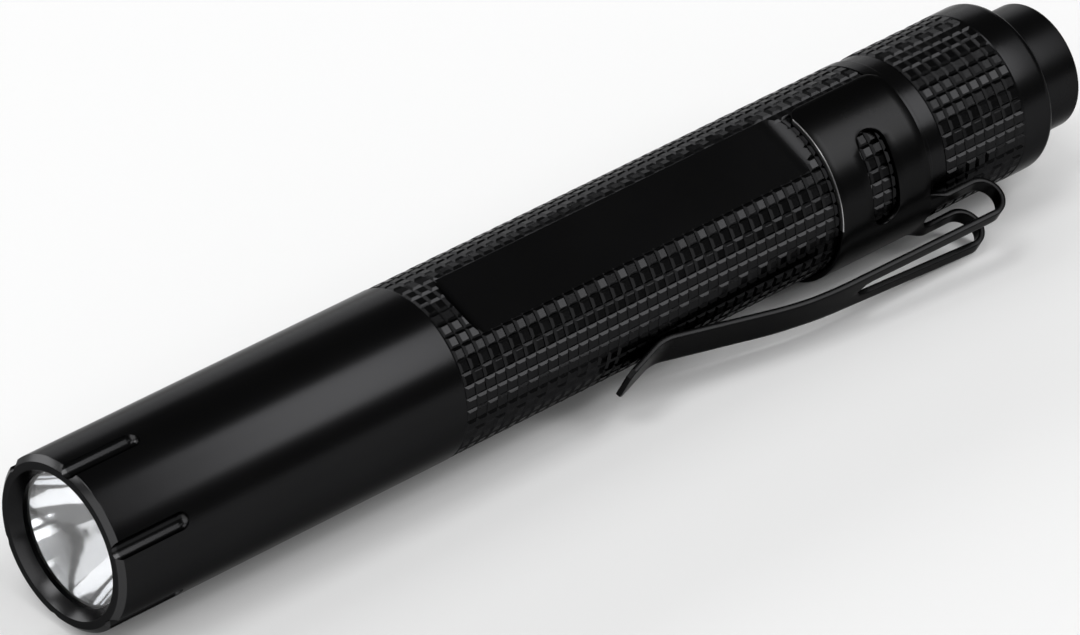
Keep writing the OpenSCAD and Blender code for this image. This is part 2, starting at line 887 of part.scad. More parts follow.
module clip_band() {
    color("#202022") lay() difference() {
        union() {
            difference() {
                tube(band_in_r + clip_t, band_in_r, band_z, band_len);
                band_opening();
            }
            across(clip_w) {
                translate([tongue_in_r, band_end_z - tongue_root])
                    square([clip_t, loop_reach + tongue_root]);
                loop_section(false);
            }
        }
        for (side = [0, 1])
            mirror([0, side, 0]) {
                band_slot();
                rotate([0, 0, band_wrap / 2]) {
                    translate([0, 0, band_z])
                        band_corner_cut();
                    translate([0, 0, band_end_z])
                        mirror([0, 0, 1])
                            band_corner_cut();
                }
            }
        translate([0, rail_w - clip_w / 2, band_end_z + clip_t])
            cube([arm_r, clip_w - 2 * rail_w, 2 * loop_reach]);
    }
}

// Half width of the arm between its shoulder and the loop
function arm_half(z) = (clip_tip_w + (clip_w - clip_tip_w) * (z - shoulder_z) / shoulder_reach) / 2;

// Outline of the arm seen from outside: it narrows from the loop to the shoulder
module arm_outline() {
    rear_z = loop_z + loop_reach;
    polygon([
        [clip_w / 2, rear_z],
        [clip_w / 2, loop_z],
        [clip_tip_w / 2, shoulder_z],
        [clip_tip_w / 2, tip_z + tip_chamfer],
        [clip_tip_w / 2 - tip_chamfer, tip_z - clip_t],
        [tip_chamfer - clip_tip_w / 2, tip_z - clip_t],
        [-clip_tip_w / 2, tip_z + tip_chamfer],
        [-clip_tip_w / 2, shoulder_z],
        [-clip_w / 2, loop_z],
        [-clip_w / 2, rear_z],
    ]);
}

// Outline of the long slot between the arm's rails
module rail_slot_outline() {
    front_z = loop_z - rail_slot_reach;
    front_half = arm_half(front_z) - rail_w;
    rear_z = loop_z + loop_reach;
    rear_half = clip_w / 2 - rail_w;
    polygon([
        [-front_half, front_z],
        [front_half, front_z],
        [rear_half, loop_z],
        [rear_half, rear_z],
        [-rear_half, rear_z],
        [-rear_half, loop_z],
    ]);
}

module clip_arm() {
    color("#202022") lay() intersection() {
        across(clip_w) {
            ribbon(arm_path);
            loop_section(true);
        }
        rotate([quarter_turn, 0, quarter_turn])
            linear_extrude(arm_r + loop_r) difference() {
                arm_outline();
                rail_slot_outline();
            }
    }
}

head_shell();
lens_gasket();
lens();
reflector();
led_insulator();
led_base();
led_dome();
led_board();
pill();
led_leads();
driver_board();
driver_components();
positive_spring();
head_o_ring();
body_tube();
cell_can();
cell_core();
cell_sleeve();
cell_positive_cap();
cell_seal();
cell_negative_cap();
tail_o_ring();
negative_spring();
switch_board();
switch_contacts();
switch_housing();
switch_retaining_ring();
tail_cap();
button();
switch_plunger();
button_return_spring();
button_seal();
clip_band();
clip_arm();
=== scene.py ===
"""Pocket penlight: knurled black barrel, milled flat, spring clip and tail switch.

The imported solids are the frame. The pieces that show are modelled over them,
in metres, and ride on its bodies.
"""
import json
import logging
import math
from collections.abc import Callable, Iterator, Sequence
from contextlib import contextmanager
from dataclasses import dataclass
from enum import Enum

import bmesh
import bpy
from mathutils import Matrix, Vector


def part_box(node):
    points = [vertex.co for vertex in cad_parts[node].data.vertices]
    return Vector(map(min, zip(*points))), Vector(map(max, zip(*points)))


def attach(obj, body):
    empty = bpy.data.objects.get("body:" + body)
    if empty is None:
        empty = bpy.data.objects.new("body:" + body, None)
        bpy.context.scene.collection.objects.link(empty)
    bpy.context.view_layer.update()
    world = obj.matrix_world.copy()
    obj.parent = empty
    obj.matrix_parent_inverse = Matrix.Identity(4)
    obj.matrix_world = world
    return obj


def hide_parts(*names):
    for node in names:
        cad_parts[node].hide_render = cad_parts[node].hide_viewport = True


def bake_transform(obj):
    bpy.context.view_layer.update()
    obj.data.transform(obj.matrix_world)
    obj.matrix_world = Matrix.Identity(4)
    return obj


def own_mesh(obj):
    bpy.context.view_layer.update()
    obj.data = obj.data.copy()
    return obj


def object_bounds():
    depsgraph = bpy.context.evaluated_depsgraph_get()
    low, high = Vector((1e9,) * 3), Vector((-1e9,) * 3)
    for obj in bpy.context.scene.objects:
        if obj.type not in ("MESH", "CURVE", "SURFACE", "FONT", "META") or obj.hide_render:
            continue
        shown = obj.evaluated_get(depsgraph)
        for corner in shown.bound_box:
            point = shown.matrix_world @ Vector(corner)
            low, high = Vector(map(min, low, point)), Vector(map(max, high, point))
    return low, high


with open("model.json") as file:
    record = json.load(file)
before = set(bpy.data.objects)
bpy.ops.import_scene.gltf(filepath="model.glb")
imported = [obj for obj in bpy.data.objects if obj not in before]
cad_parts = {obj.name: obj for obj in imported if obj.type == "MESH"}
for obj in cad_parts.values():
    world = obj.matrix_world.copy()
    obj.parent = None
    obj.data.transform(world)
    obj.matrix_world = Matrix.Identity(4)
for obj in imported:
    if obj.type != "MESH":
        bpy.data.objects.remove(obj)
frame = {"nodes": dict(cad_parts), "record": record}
cad_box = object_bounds()

log = logging.getLogger("penlight")

MM = 0.001
MERGE = 1e-7
WELD = 1e-6
FULL_TURN = 2 * math.pi
TURN_STEPS = 192
SMOOTH_ANGLE = math.radians(32)
AXIS = Vector((1.0, 0.0, 0.0))

Outline = list[tuple[float, float]]
Colour = tuple[float, float, float]
Stretch = tuple[float, float, float]


class Body(Enum):
    """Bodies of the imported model."""

    TORCH = "torch_body"
    CLIP = "clip"
    CLIP_ARM = "clip_arm"
    TAIL_MODULE = "tail_module"
    TAIL_CAP = "tail_cap"
    BUTTON = "button"


class Part(Enum):
    """Parts of a mesh that can be selected."""

    CORNER = "VERT"
    EDGE = "EDGE"
    FACE = "FACE"


class Join(Enum):
    """Ways to combine two solids."""

    ADD = "UNION"
    CUT = "DIFFERENCE"


def clip_roll() -> float:
    """Read the clip's place round the barrel from its hinge.

    Returns:
        The angle of the clip from straight down, in radians.
    """
    joints = frame["record"]["behaviour"]["joints"]
    hinge = next(joint for joint in joints if joint["name"] == "clip_flex")
    return math.atan2(hinge["axis"][2], -hinge["axis"][1])


ROLL = clip_roll()


def outward(angle: float) -> Vector:
    """Return the direction from the axis at an angle from the clip, in radians."""
    return Vector((0.0, -math.sin(ROLL - angle), -math.cos(ROLL - angle)))


def along(angle: float) -> Vector:
    """Return the direction round the barrel at an angle from the clip, in radians."""
    return Vector((0.0, math.cos(ROLL - angle), -math.sin(ROLL - angle)))


def clamp(value: float) -> float:
    """Return a value held to the unit range."""
    return min(max(value, 0.0), 1.0)


def smoothstep(value: float) -> float:
    """Return a smooth ramp from 0 to 1 over the unit range."""
    share = clamp(value)
    return share * share * (3 - 2 * share)


def quarter_round(value: float) -> float:
    """Return the height of a quarter circle that rises from 0 to 1 over the unit range."""
    return math.sqrt(1 - (1 - clamp(value)) ** 2)


def arc(centre: tuple[float, float], radius: float, start: float, end: float, steps: int) -> Outline:
    """Return points on an arc.

    Args:
        centre: Middle of the arc.
        radius: Radius of the arc.
        start: First angle in degrees.
        end: Last angle in degrees.
        steps: Number of chords.

    Returns:
        The points from start to end, both included.
    """
    points = []
    for step in range(steps + 1):
        angle = math.radians(start + (end - start) * step / steps)
        points.append((centre[0] + radius * math.cos(angle), centre[1] + radius * math.sin(angle)))
    return points


def eased(outline: Outline, radius: float, steps: int = 3) -> Outline:
    """Round every corner of a closed outline.

    Args:
        outline: Corners in order.
        radius: Distance from a corner to the ends of its curve, less where a side is short.
        steps: Number of chords in a curve.

    Returns:
        The rounded outline.
    """
    points: Outline = []
    for index, corner in enumerate(outline):
        apex = Vector(corner)
        before = Vector(outline[index - 1]) - apex
        after = Vector(outline[(index + 1) % len(outline)]) - apex
        reach = min(radius, before.length / 3, after.length / 3)
        first = apex + before.normalized() * reach
        last = apex + after.normalized() * reach
        for step in range(steps + 1):
            share = step / steps
            point = first * (1 - share) ** 2 + apex * 2 * share * (1 - share) + last * share ** 2
            points.append((point.x, point.y))
    return points


class Bench:
    """Modelling by hand: one active object, shaped in edit mode by operators."""

    @staticmethod
    def clear() -> None:
        """Leave edit mode and deselect everything."""
        if bpy.context.object and bpy.context.object.mode != "OBJECT":
            bpy.ops.object.mode_set(mode="OBJECT")
        bpy.ops.object.select_all(action="DESELECT")

    @classmethod
    def take(cls, obj: bpy.types.Object) -> None:
        """Make one object the only selected and active one.

        Args:
            obj: The object.
        """
        cls.clear()
        obj.select_set(True)
        bpy.context.view_layer.objects.active = obj

    @classmethod
    @contextmanager
    def editing(cls, obj: bpy.types.Object) -> Iterator[None]:
        """Work on one object in edit mode with all of it selected.

        Args:
            obj: The object.
        """
        cls.take(obj)
        bpy.ops.object.mode_set(mode="EDIT")
        bpy.ops.mesh.select_mode(type="VERT")
        bpy.ops.mesh.select_all(action="SELECT")
        yield
        bpy.ops.object.mode_set(mode="OBJECT")

    @staticmethod
    def pick(kind: Part, test: Callable[[Vector], bool]) -> None:
        """Select parts of the edited mesh by place.

        Args:
            kind: Which parts are selected.
            test: Says whether the middle of a part is wanted.
        """
        bpy.ops.mesh.select_mode(type=kind.value)
        bpy.ops.mesh.select_all(action="DESELECT")
        mesh = bmesh.from_edit_mesh(bpy.context.object.data)
        if kind is Part.CORNER:
            for vert in mesh.verts:
                vert.select_set(test(vert.co))
        elif kind is Part.EDGE:
            for edge in mesh.edges:
                edge.select_set(test((edge.verts[0].co + edge.verts[1].co) / 2))
        else:
            for face in mesh.faces:
                face.select_set(test(face.calc_center_median()))
        mesh.select_flush_mode()
        bmesh.update_edit_mesh(bpy.context.object.data)

    @staticmethod
    def close_mesh() -> None:
        """Merge the doubles of the edited mesh and turn its faces outwards."""
        bpy.ops.mesh.select_all(action="SELECT")
        bpy.ops.mesh.remove_doubles(threshold=MERGE)
        bpy.ops.mesh.normals_make_consistent(inside=False)

    @classmethod
    def draw(cls, name: str, points: Sequence[Vector]) -> bpy.types.Object:
        """Draw a closed line of edges point by point, as by extruding a vertex.

        Args:
            name: Name of the new object.
            points: Points of the line.

        Returns:
            The new object, which has edges alone.
        """
        cls.clear()
        bpy.ops.mesh.primitive_plane_add(size=MM)
        obj = bpy.context.object
        obj.name = name
        route = [*points, points[0]]
        with cls.editing(obj):
            bpy.ops.mesh.merge(type="CENTER")
            bpy.ops.transform.translate(value=route[0])
            for here, there in zip(route, route[1:]):
                bpy.ops.mesh.extrude_vertices_move(TRANSFORM_OT_translate={"value": there - here})
            bpy.ops.mesh.select_all(action="SELECT")
            bpy.ops.mesh.remove_doubles(threshold=MERGE)
        return obj

    @classmethod
    def turn(cls, name: str, outline: Outline) -> bpy.types.Object:
        """Turn a closed half section round the axis.

        Args:
            name: Name of the new object.
            outline: Points as place along the axis and radius.

        Returns:
            The turned solid.
        """
        obj = cls.draw(name, [Vector((x, 0.0, r)) for x, r in outline])
        with cls.editing(obj):
            bpy.ops.mesh.spin(
                steps=TURN_STEPS, angle=FULL_TURN, center=(0, 0, 0), axis=AXIS, use_auto_merge=True
            )
            cls.close_mesh()
        return obj

    @classmethod
    def prism(cls, name: str, points: Sequence[Vector], reach: Vector) -> bpy.types.Object:
        """Fill a closed outline and extrude it.

        Args:
            name: Name of the new object.
            points: Corners of the outline.
            reach: How far and which way the outline is extruded.

        Returns:
            The prism.
        """
        obj = cls.draw(name, points)
        with cls.editing(obj):
            bpy.ops.mesh.edge_face_add()
            bpy.ops.mesh.extrude_region_move(TRANSFORM_OT_translate={"value": reach})
            cls.close_mesh()
        return obj

    @classmethod
    def sheet(cls, name: str, rows: int, columns: int) -> bpy.types.Object:
        """Lay a flat square sheet of quads, a millimetre wide, to be shaped.

        Args:
            name: Name of the new object.
            rows: Faces along X.
            columns: Faces along Y.

        Returns:
            The sheet.
        """
        cls.clear()
        bpy.ops.mesh.primitive_grid_add(x_subdivisions=rows, y_subdivisions=columns, size=MM)
        obj = bpy.context.object
        obj.name = name
        return obj

    @classmethod
    def line_sleeve(cls, obj: bpy.types.Object, share: float) -> None:
        """Close a rolled sheet with end walls and a lining.

        Args:
            obj: The rolled sheet, whose two long edges meet.
            share: Radius of the lining as a share of the end edges' radius.
        """
        with cls.editing(obj):
            bpy.ops.mesh.remove_doubles(threshold=MERGE)
            bpy.ops.mesh.select_all(action="DESELECT")
            bpy.ops.mesh.select_mode(type="EDGE")
            bpy.ops.mesh.select_non_manifold(extend=False)
            bpy.ops.mesh.extrude_edges_move()
            bpy.ops.transform.resize(value=(1.0, share, share), center_override=(0, 0, 0))
            bpy.ops.mesh.bridge_edge_loops()
            cls.close_mesh()

    @classmethod
    def apply(cls, obj: bpy.types.Object, kind: str, settings: dict[str, object]) -> None:
        """Add a modifier, set it and apply it.

        Args:
            obj: The piece.
            kind: Type of the modifier.
            settings: Values of the modifier's settings.
        """
        cls.take(obj)
        modifier = obj.modifiers.new(kind.title(), kind)
        for key, value in settings.items():
            setattr(modifier, key, value)
        bpy.ops.object.modifier_apply(modifier=modifier.name)

    @classmethod
    def combine(cls, obj: bpy.types.Object, tool: bpy.types.Object, how: Join) -> None:
        """Join a tool to a piece or cut it away, and delete the tool.

        Args:
            obj: The piece.
            tool: The second solid.
            how: Whether the tool is added or cut away.
        """
        cls.apply(obj, "BOOLEAN", {"object": tool, "operation": how.value, "solver": "EXACT"})
        bpy.data.objects.remove(tool, do_unlink=True)

    @classmethod
    def smooth(cls, obj: bpy.types.Object, angle: float = SMOOTH_ANGLE) -> None:
        """Shade a piece smooth, with its sharper edges kept."""
        cls.take(obj)
        bpy.ops.object.shade_smooth_by_angle(angle=angle)

    @staticmethod
    def reshape(obj: bpy.types.Object, rule: Callable[[Vector], Vector]) -> None:
        """Move every vertex of a mesh by a rule.

        Args:
            obj: The piece.
            rule: Gives a vertex's new place from its old one.
        """
        for vert in obj.data.vertices:
            vert.co = rule(vert.co.copy())
        obj.data.update()


class Socket:
    """An output of a material's node, with operators that add Math nodes."""

    def __init__(self, paint: "Paint", link: bpy.types.NodeSocket) -> None:
        """Keep the material and the socket."""
        self.paint = paint
        self.link = link

    def _math(self, operation: str, first: object, second: object) -> "Socket":
        """Add a Math node."""
        return self.paint.node("ShaderNodeMath", {"operation": operation}, {0: first, 1: second})

    def __add__(self, other: object) -> "Socket":
        """Add."""
        return self._math("ADD", self, other)

    __radd__ = __add__

    def __rsub__(self, other: object) -> "Socket":
        """Subtract from a number."""
        return self._math("SUBTRACT", other, self)

    def __mul__(self, other: object) -> "Socket":
        """Multiply."""
        return self._math("MULTIPLY", self, other)

    __rmul__ = __mul__

    def __gt__(self, other: object) -> "Socket":
        """Give 1 where this is the greater."""
        return self._math("GREATER_THAN", self, other)


class Paint:
    """A node material that is built by expressions."""

    def __init__(self, name: str) -> None:
        """Make an empty material.

        Args:
            name: Name of the material.
        """
        self.material = bpy.data.materials.new(name)
        self.material.use_nodes = True
        self.tree = self.material.node_tree
        self.tree.nodes.clear()
        self.output = self.tree.nodes.new("ShaderNodeOutputMaterial")

    def node(
        self,
        kind: str,
        settings: dict[str, object] | None = None,
        inputs: dict[str | int, object] | None = None,
        output: str | int = 0,
    ) -> Socket:
        """Add a node.

        Args:
            kind: Type of the node.
            settings: Its settings, with a ramp's two stops under "stops".
            inputs: Values or links of its sockets.
            output: Which of its outputs is wanted.

        Returns:
            That output.
        """
        made = self.tree.nodes.new(kind)
        for key, value in (settings or {}).items():
            if key == "stops":
                for element, (place, colour) in zip(made.color_ramp.elements, value):
                    element.position = place
                    element.color = (*colour, 1.0)
            else:
                setattr(made, key, value)
        for key, value in (inputs or {}).items():
            if isinstance(value, Socket):
                self.tree.links.new(value.link, made.inputs[key])
            else:
                made.inputs[key].default_value = value
        return Socket(self, made.outputs[output])

    def place(self, scale: Stretch = (1.0, 1.0, 1.0)) -> Socket:
        """Return the place on the piece, stretched by a scale along each axis."""
        point = self.node("ShaderNodeTexCoord", output="Object")
        return self.node("ShaderNodeMapping", inputs={"Vector": point, "Scale": scale})

    def noise(self, where: Socket, scale: float, detail: float = 2.0) -> Socket:
        """Return a noise from 0 to 1 with features of about one part in scale of a metre."""
        return self.node("ShaderNodeTexNoise", inputs={"Vector": where, "Scale": scale, "Detail": detail})

    def mix(self, factor: Socket, first: Colour, second: Colour) -> Socket:
        """Return a colour between two, by a factor."""
        return self.node(
            "ShaderNodeValToRGB", {"stops": ((0.0, first), (1.0, second))}, {0: factor}
        )

    def part(self, axis: str) -> Socket:
        """Return the place along one axis, in metres."""
        return self.node("ShaderNodeSeparateXYZ", inputs={0: self.place()}, output=axis)

    def blend(self, mask: Socket, under: Socket, over: Colour) -> Socket:
        """Return a colour laid over another where a mask is 1."""
        settings = {"data_type": "RGBA"}
        return self.node("ShaderNodeMix", settings, {0: mask, 6: under, 7: (*over, 1.0)}, 2)

    def bump(self, height: Socket, distance: float, strength: float = 1.0) -> Socket:
        """Return a normal bent by a height from 0 to 1."""
        return self.node(
            "ShaderNodeBump", inputs={"Height": height, "Distance": distance, "Strength": strength}
        )

    def surface(self, inputs: dict[str, object]) -> bpy.types.Material:
        """Finish the material with one surface shader.

        Args:
            inputs: Values or links of the shader's sockets.

        Returns:
            The material.
        """
        shader = self.node("ShaderNodeBsdfPrincipled", inputs=inputs)
        self.tree.links.new(shader.link, self.output.inputs["Surface"])
        return self.material


@dataclass(frozen=True)
class Anodised:
    """Black anodised metal: a dark satin skin with a fine blasted grain, with painted highlights at the
    bezel and the grooves' ends.
    """

    name: str
    dark: Colour = (0.0134, 0.0134, 0.0139)
    light: Colour = (0.0176, 0.0176, 0.0182)
    edge: Colour = (0.5, 0.5, 0.5)
    # painted highlight: colour laid on the bezel's chamfer, the mouth's lower side and the grooves' ends
    painted_glint: Colour = (0.042, 0.042, 0.043)
    bezel_face: float = 0.03 * MM
    bezel_cut: float = 0.47 * MM
    mouth_depth: float = 1.0 * MM
    mouth_r: float = 6.2 * MM
    # heights over which the painted highlight on the mouth's lower side fades out
    mouth_fade: tuple[float, float] = (-5.0 * MM, -1.0 * MM)
    groove_end: tuple[float, float] = (6.5 * MM, 6.9 * MM)
    groove_r: float = 6.95 * MM
    roughness: float = 0.24
    spread: float = 0.06
    grain: float = 14000.0
    grain_height: float = 0.0015 * MM
    cloud: float = 120.0
    lathe: float = 9000.0
    lathe_stretch: Stretch = (1.0, 0.02, 0.02)
    lathe_share: float = 0.5

    def glint_mask(self, paint: Paint) -> Socket:
        """Mark the painted highlights: the bezel's chamfer, the lit lower side of its mouth and the grooves'
        ends.

        Args:
            paint: The material.

        Returns:
            1 where a highlight is painted, 0 elsewhere.
        """
        ahead = paint.part("X")
        off_axis = {0: paint.place((0.0, 1.0, 1.0))}
        radius = paint.node("ShaderNodeVectorMath", {"operation": "LENGTH"}, off_axis, "Value")
        inside = 1.0 - (radius > self.mouth_r)
        low, high = self.mouth_fade
        fade = {0: paint.part("Z"), 1: low, 2: high, 3: 1.0, 4: 0.0}
        lower = paint.node("ShaderNodeMapRange", inputs=fade)
        # painted highlight on the lit lower side of the mouth
        mouth = (1.0 - (ahead > self.mouth_depth)) * inside * lower
        # painted highlight round the bezel's chamfer
        chamfer = (1.0 - (ahead > self.bezel_cut)) * (1.0 - inside)
        first, last = self.groove_end
        # painted highlight dots at the grooves' ends
        groove = (ahead > first) * (1.0 - (ahead > last)) * (1.0 - (radius > self.groove_r))
        return (ahead > self.bezel_face) * (mouth + chamfer) + groove

    def material(self) -> bpy.types.Material:
        """Build the material.

        Returns:
            The material.
        """
        paint = Paint(self.name)
        where = paint.place()
        cloud = paint.noise(where, self.cloud, detail=4.0)
        grain = paint.noise(where, self.grain, detail=1.0)
        rings = paint.noise(paint.place(self.lathe_stretch), self.lathe, detail=0.0)
        skin = paint.mix(cloud, self.dark, self.light)
        return paint.surface({
            # the painted highlights are laid over the skin's colour
            "Base Color": paint.blend(self.glint_mask(paint), skin, self.painted_glint),
            "Metallic": 1.0,
            "Roughness": self.roughness - self.spread / 2 + self.spread * cloud,
            "Specular Tint": (*self.edge, 1.0),
            "Normal": paint.bump(grain + self.lathe_share * rings, self.grain_height),
        })


@dataclass(frozen=True)
class Blackened(Anodised):
    """Blackened spring steel, with a painted highlight along the upper half of the band's front rim."""

    dark: Colour = (0.0096, 0.0096, 0.0098)
    light: Colour = (0.0134, 0.0134, 0.0137)
    # painted highlight colour on the upper half of the band's front rim
    painted_glint: Colour = (0.43, 0.43, 0.43)
    rim: float = 71.38 * MM

    def glint_mask(self, paint: Paint) -> Socket:
        """Return 1 where a highlight is painted on the upper half of the band's front rim, 0 elsewhere."""
        return (1.0 - (paint.part("X") > self.rim)) * (paint.part("Z") > 0.0)


@dataclass(frozen=True)
class Clouded:
    """A surface with a fine relief, whose colour and roughness drift in clouds."""

    name: str
    colour: Colour
    shade: Colour
    roughness: float
    spread: float
    metallic: float
    cloud: float
    cloud_detail: float
    grain: float
    grain_detail: float
    grain_height: float
    grain_stretch: Stretch = (1.0, 1.0, 1.0)
    grain_share: float = 1.0

    def material(self) -> bpy.types.Material:
        """Build the material.

        Returns:
            The material.
        """
        paint = Paint(self.name)
        cloud = paint.noise(paint.place(), self.cloud, self.cloud_detail)
        grain = paint.noise(paint.place(self.grain_stretch), self.grain, self.grain_detail)
        return paint.surface({
            "Base Color": paint.mix(cloud, self.colour, self.shade),
            "Metallic": self.metallic,
            "Roughness": self.roughness + self.spread * cloud,
            "Normal": paint.bump(grain, self.grain_height, self.grain_share),
        })


@dataclass(frozen=True)
class BareMetal(Clouded):
    """Bare or plated metal with fine drawn lines and a slight tarnish."""

    roughness: float = 0.28
    spread: float = 0.12
    metallic: float = 1.0
    cloud: float = 300.0
    cloud_detail: float = 4.0
    grain: float = 5000.0
    grain_detail: float = 1.0
    grain_height: float = 0.002 * MM
    grain_stretch: Stretch = (1.0, 0.05, 0.05)


@dataclass(frozen=True)
class Moulded(Clouded):
    """Moulded, coated or fired material: plastic, rubber, ceramic or lacquered board."""

    roughness: float = 0.5
    spread: float = 0.1
    metallic: float = 0.0
    cloud: float = 400.0
    cloud_detail: float = 3.0
    grain: float = 6000.0
    grain_detail: float = 2.0
    grain_height: float = 0.004 * MM


@dataclass(frozen=True)
class Mirror(Clouded):
    """Vacuum-coated reflector with a faint haze, and a ripple from its mould."""

    colour: Colour = (0.9, 0.91, 0.92)
    shade: Colour = (0.84, 0.85, 0.87)
    roughness: float = 0.05
    spread: float = 0.04
    metallic: float = 1.0
    cloud: float = 500.0
    cloud_detail: float = 3.0
    grain: float = 900.0
    grain_detail: float = 1.0
    grain_height: float = 0.01 * MM
    grain_share: float = 0.5


@dataclass(frozen=True)
class Clear:
    """Clear moulding with a faint smear: the lens."""

    name: str
    colour: Colour = (1.0, 1.0, 1.0)
    ior: float = 1.49
    roughness: float = 0.0
    spread: float = 0.01
    smear: float = 700.0

    def material(self) -> bpy.types.Material:
        """Build the material.

        Returns:
            The material.
        """
        paint = Paint(self.name)
        smear = paint.noise(paint.place(), self.smear, detail=3.0)
        return paint.surface({
            "Base Color": (*self.colour, 1.0),
            "Roughness": self.roughness + self.spread * smear,
            "IOR": self.ior,
            "Transmission Weight": 1.0,
        })


class Finish(Enum):
    """Finishes by the record's material slot."""

    BLACK_ANODISED = Anodised("black_anodised")
    CLIP_BLACK = Blackened("clip_black", roughness=0.28, cloud=90.0)
    BUTTON_BLACK = Anodised("button_black", roughness=0.28)
    BLACK_RUBBER = Moulded("black_rubber", (0.008, 0.008, 0.008), (0.014, 0.014, 0.014), 0.6)
    CLEAR_LENS = Clear("clear_lens")
    MIRROR_COAT = Mirror("mirror_coat")
    WHITE_INSULATOR = Moulded("white_insulator", (0.78, 0.78, 0.75), (0.7, 0.7, 0.67), 0.45)
    LED_CERAMIC = Moulded("led_ceramic", (0.8, 0.8, 0.76), (0.72, 0.72, 0.68), 0.35)
    LED_SILICONE = Moulded("led_silicone", (0.85, 0.8, 0.5), (0.8, 0.74, 0.42), 0.12)
    BRASS = BareMetal("brass", (0.72, 0.5, 0.2), (0.5, 0.33, 0.13))
    CONTACT_GOLD = BareMetal("contact_gold", (0.85, 0.6, 0.25), (0.7, 0.46, 0.18), 0.2)
    LEAD_RED = Moulded("lead_red", (0.45, 0.02, 0.015), (0.36, 0.015, 0.012), 0.4)
    BOARD_GREEN = Moulded("board_green", (0.015, 0.16, 0.06), (0.01, 0.1, 0.04), 0.3)
    COMPONENT_BLACK = Moulded("component_black", (0.02, 0.02, 0.022), (0.035, 0.035, 0.037), 0.45)
    CELL_STEEL = BareMetal("cell_steel", (0.62, 0.62, 0.63), (0.5, 0.5, 0.52))
    CELL_FILL = Moulded("cell_fill", (0.03, 0.03, 0.03), (0.06, 0.055, 0.05), 0.8)
    CELL_WRAP = Moulded("cell_wrap", (0.03, 0.08, 0.14), (0.025, 0.065, 0.12), 0.25)
    CELL_PLASTIC = Moulded("cell_plastic", (0.05, 0.05, 0.052), (0.035, 0.035, 0.036), 0.5)
    BARE_ALUMINIUM = BareMetal("bare_aluminium", (0.68, 0.69, 0.7), (0.56, 0.57, 0.58), 0.32)
    PLUNGER_RED = Moulded("plunger_red", (0.5, 0.04, 0.025), (0.42, 0.03, 0.02), 0.4)
    SPRING_STEEL = BareMetal("spring_steel", (0.6, 0.6, 0.6), (0.48, 0.48, 0.49), 0.25)

    @property
    def slot(self) -> str:
        """Name of the record's slot."""
        return self.value.name


CAD_FINISHES: dict[str, Finish] = {
    "lens": Finish.CLEAR_LENS,
    "lens_gasket": Finish.BLACK_RUBBER,
    "led_insulator": Finish.WHITE_INSULATOR,
    "led_base": Finish.LED_CERAMIC,
    "led_dome": Finish.LED_SILICONE,
    "led_board": Finish.WHITE_INSULATOR,
    "pill": Finish.BRASS,
    "led_leads": Finish.LEAD_RED,
    "driver_board": Finish.BOARD_GREEN,
    "driver_components": Finish.COMPONENT_BLACK,
    "head_o_ring": Finish.BLACK_RUBBER,
    "cell_can": Finish.CELL_STEEL,
    "cell_core": Finish.CELL_FILL,
    "cell_sleeve": Finish.CELL_WRAP,
    "cell_positive_cap": Finish.CELL_STEEL,
    "cell_seal": Finish.CELL_PLASTIC,
    "cell_negative_cap": Finish.CELL_STEEL,
    "tail_o_ring": Finish.BLACK_RUBBER,
    "switch_board": Finish.BOARD_GREEN,
    "switch_contacts": Finish.CONTACT_GOLD,
    "switch_housing": Finish.COMPONENT_BLACK,
    "switch_retaining_ring": Finish.BARE_ALUMINIUM,
    "switch_plunger": Finish.PLUNGER_RED,
    "button_seal": Finish.BLACK_RUBBER,
}


class Dresser:
    """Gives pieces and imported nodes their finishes, one material for each."""

    def __init__(self) -> None:
        """Build every material once."""
        self.materials = {finish: finish.value.material() for finish in Finish}

    def dress(self, obj: bpy.types.Object, finish: Finish) -> None:
        """Give a piece or node its material."""
        obj.data.materials.clear()
        obj.data.materials.append(self.materials[finish])

    def add(self, obj: bpy.types.Object, finish: Finish, body: Body, *nodes: str) -> None:
        """Finish a new piece.

        Args:
            obj: The piece, in its place.
            finish: Its finish.
            body: The body that carries it.
            nodes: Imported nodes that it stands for.
        """
        self.dress(obj, finish)
        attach(obj, body.value)
        self.declare(obj, finish, *nodes)

    @staticmethod
    def declare(obj: bpy.types.Object, finish: Finish, *nodes: str) -> None:
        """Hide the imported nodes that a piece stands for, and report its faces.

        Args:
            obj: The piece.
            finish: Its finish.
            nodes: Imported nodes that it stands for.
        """
        finish.slot
        if nodes:
            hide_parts(*nodes)
        log.info("%s: %d faces", obj.name, len(obj.data.polygons))


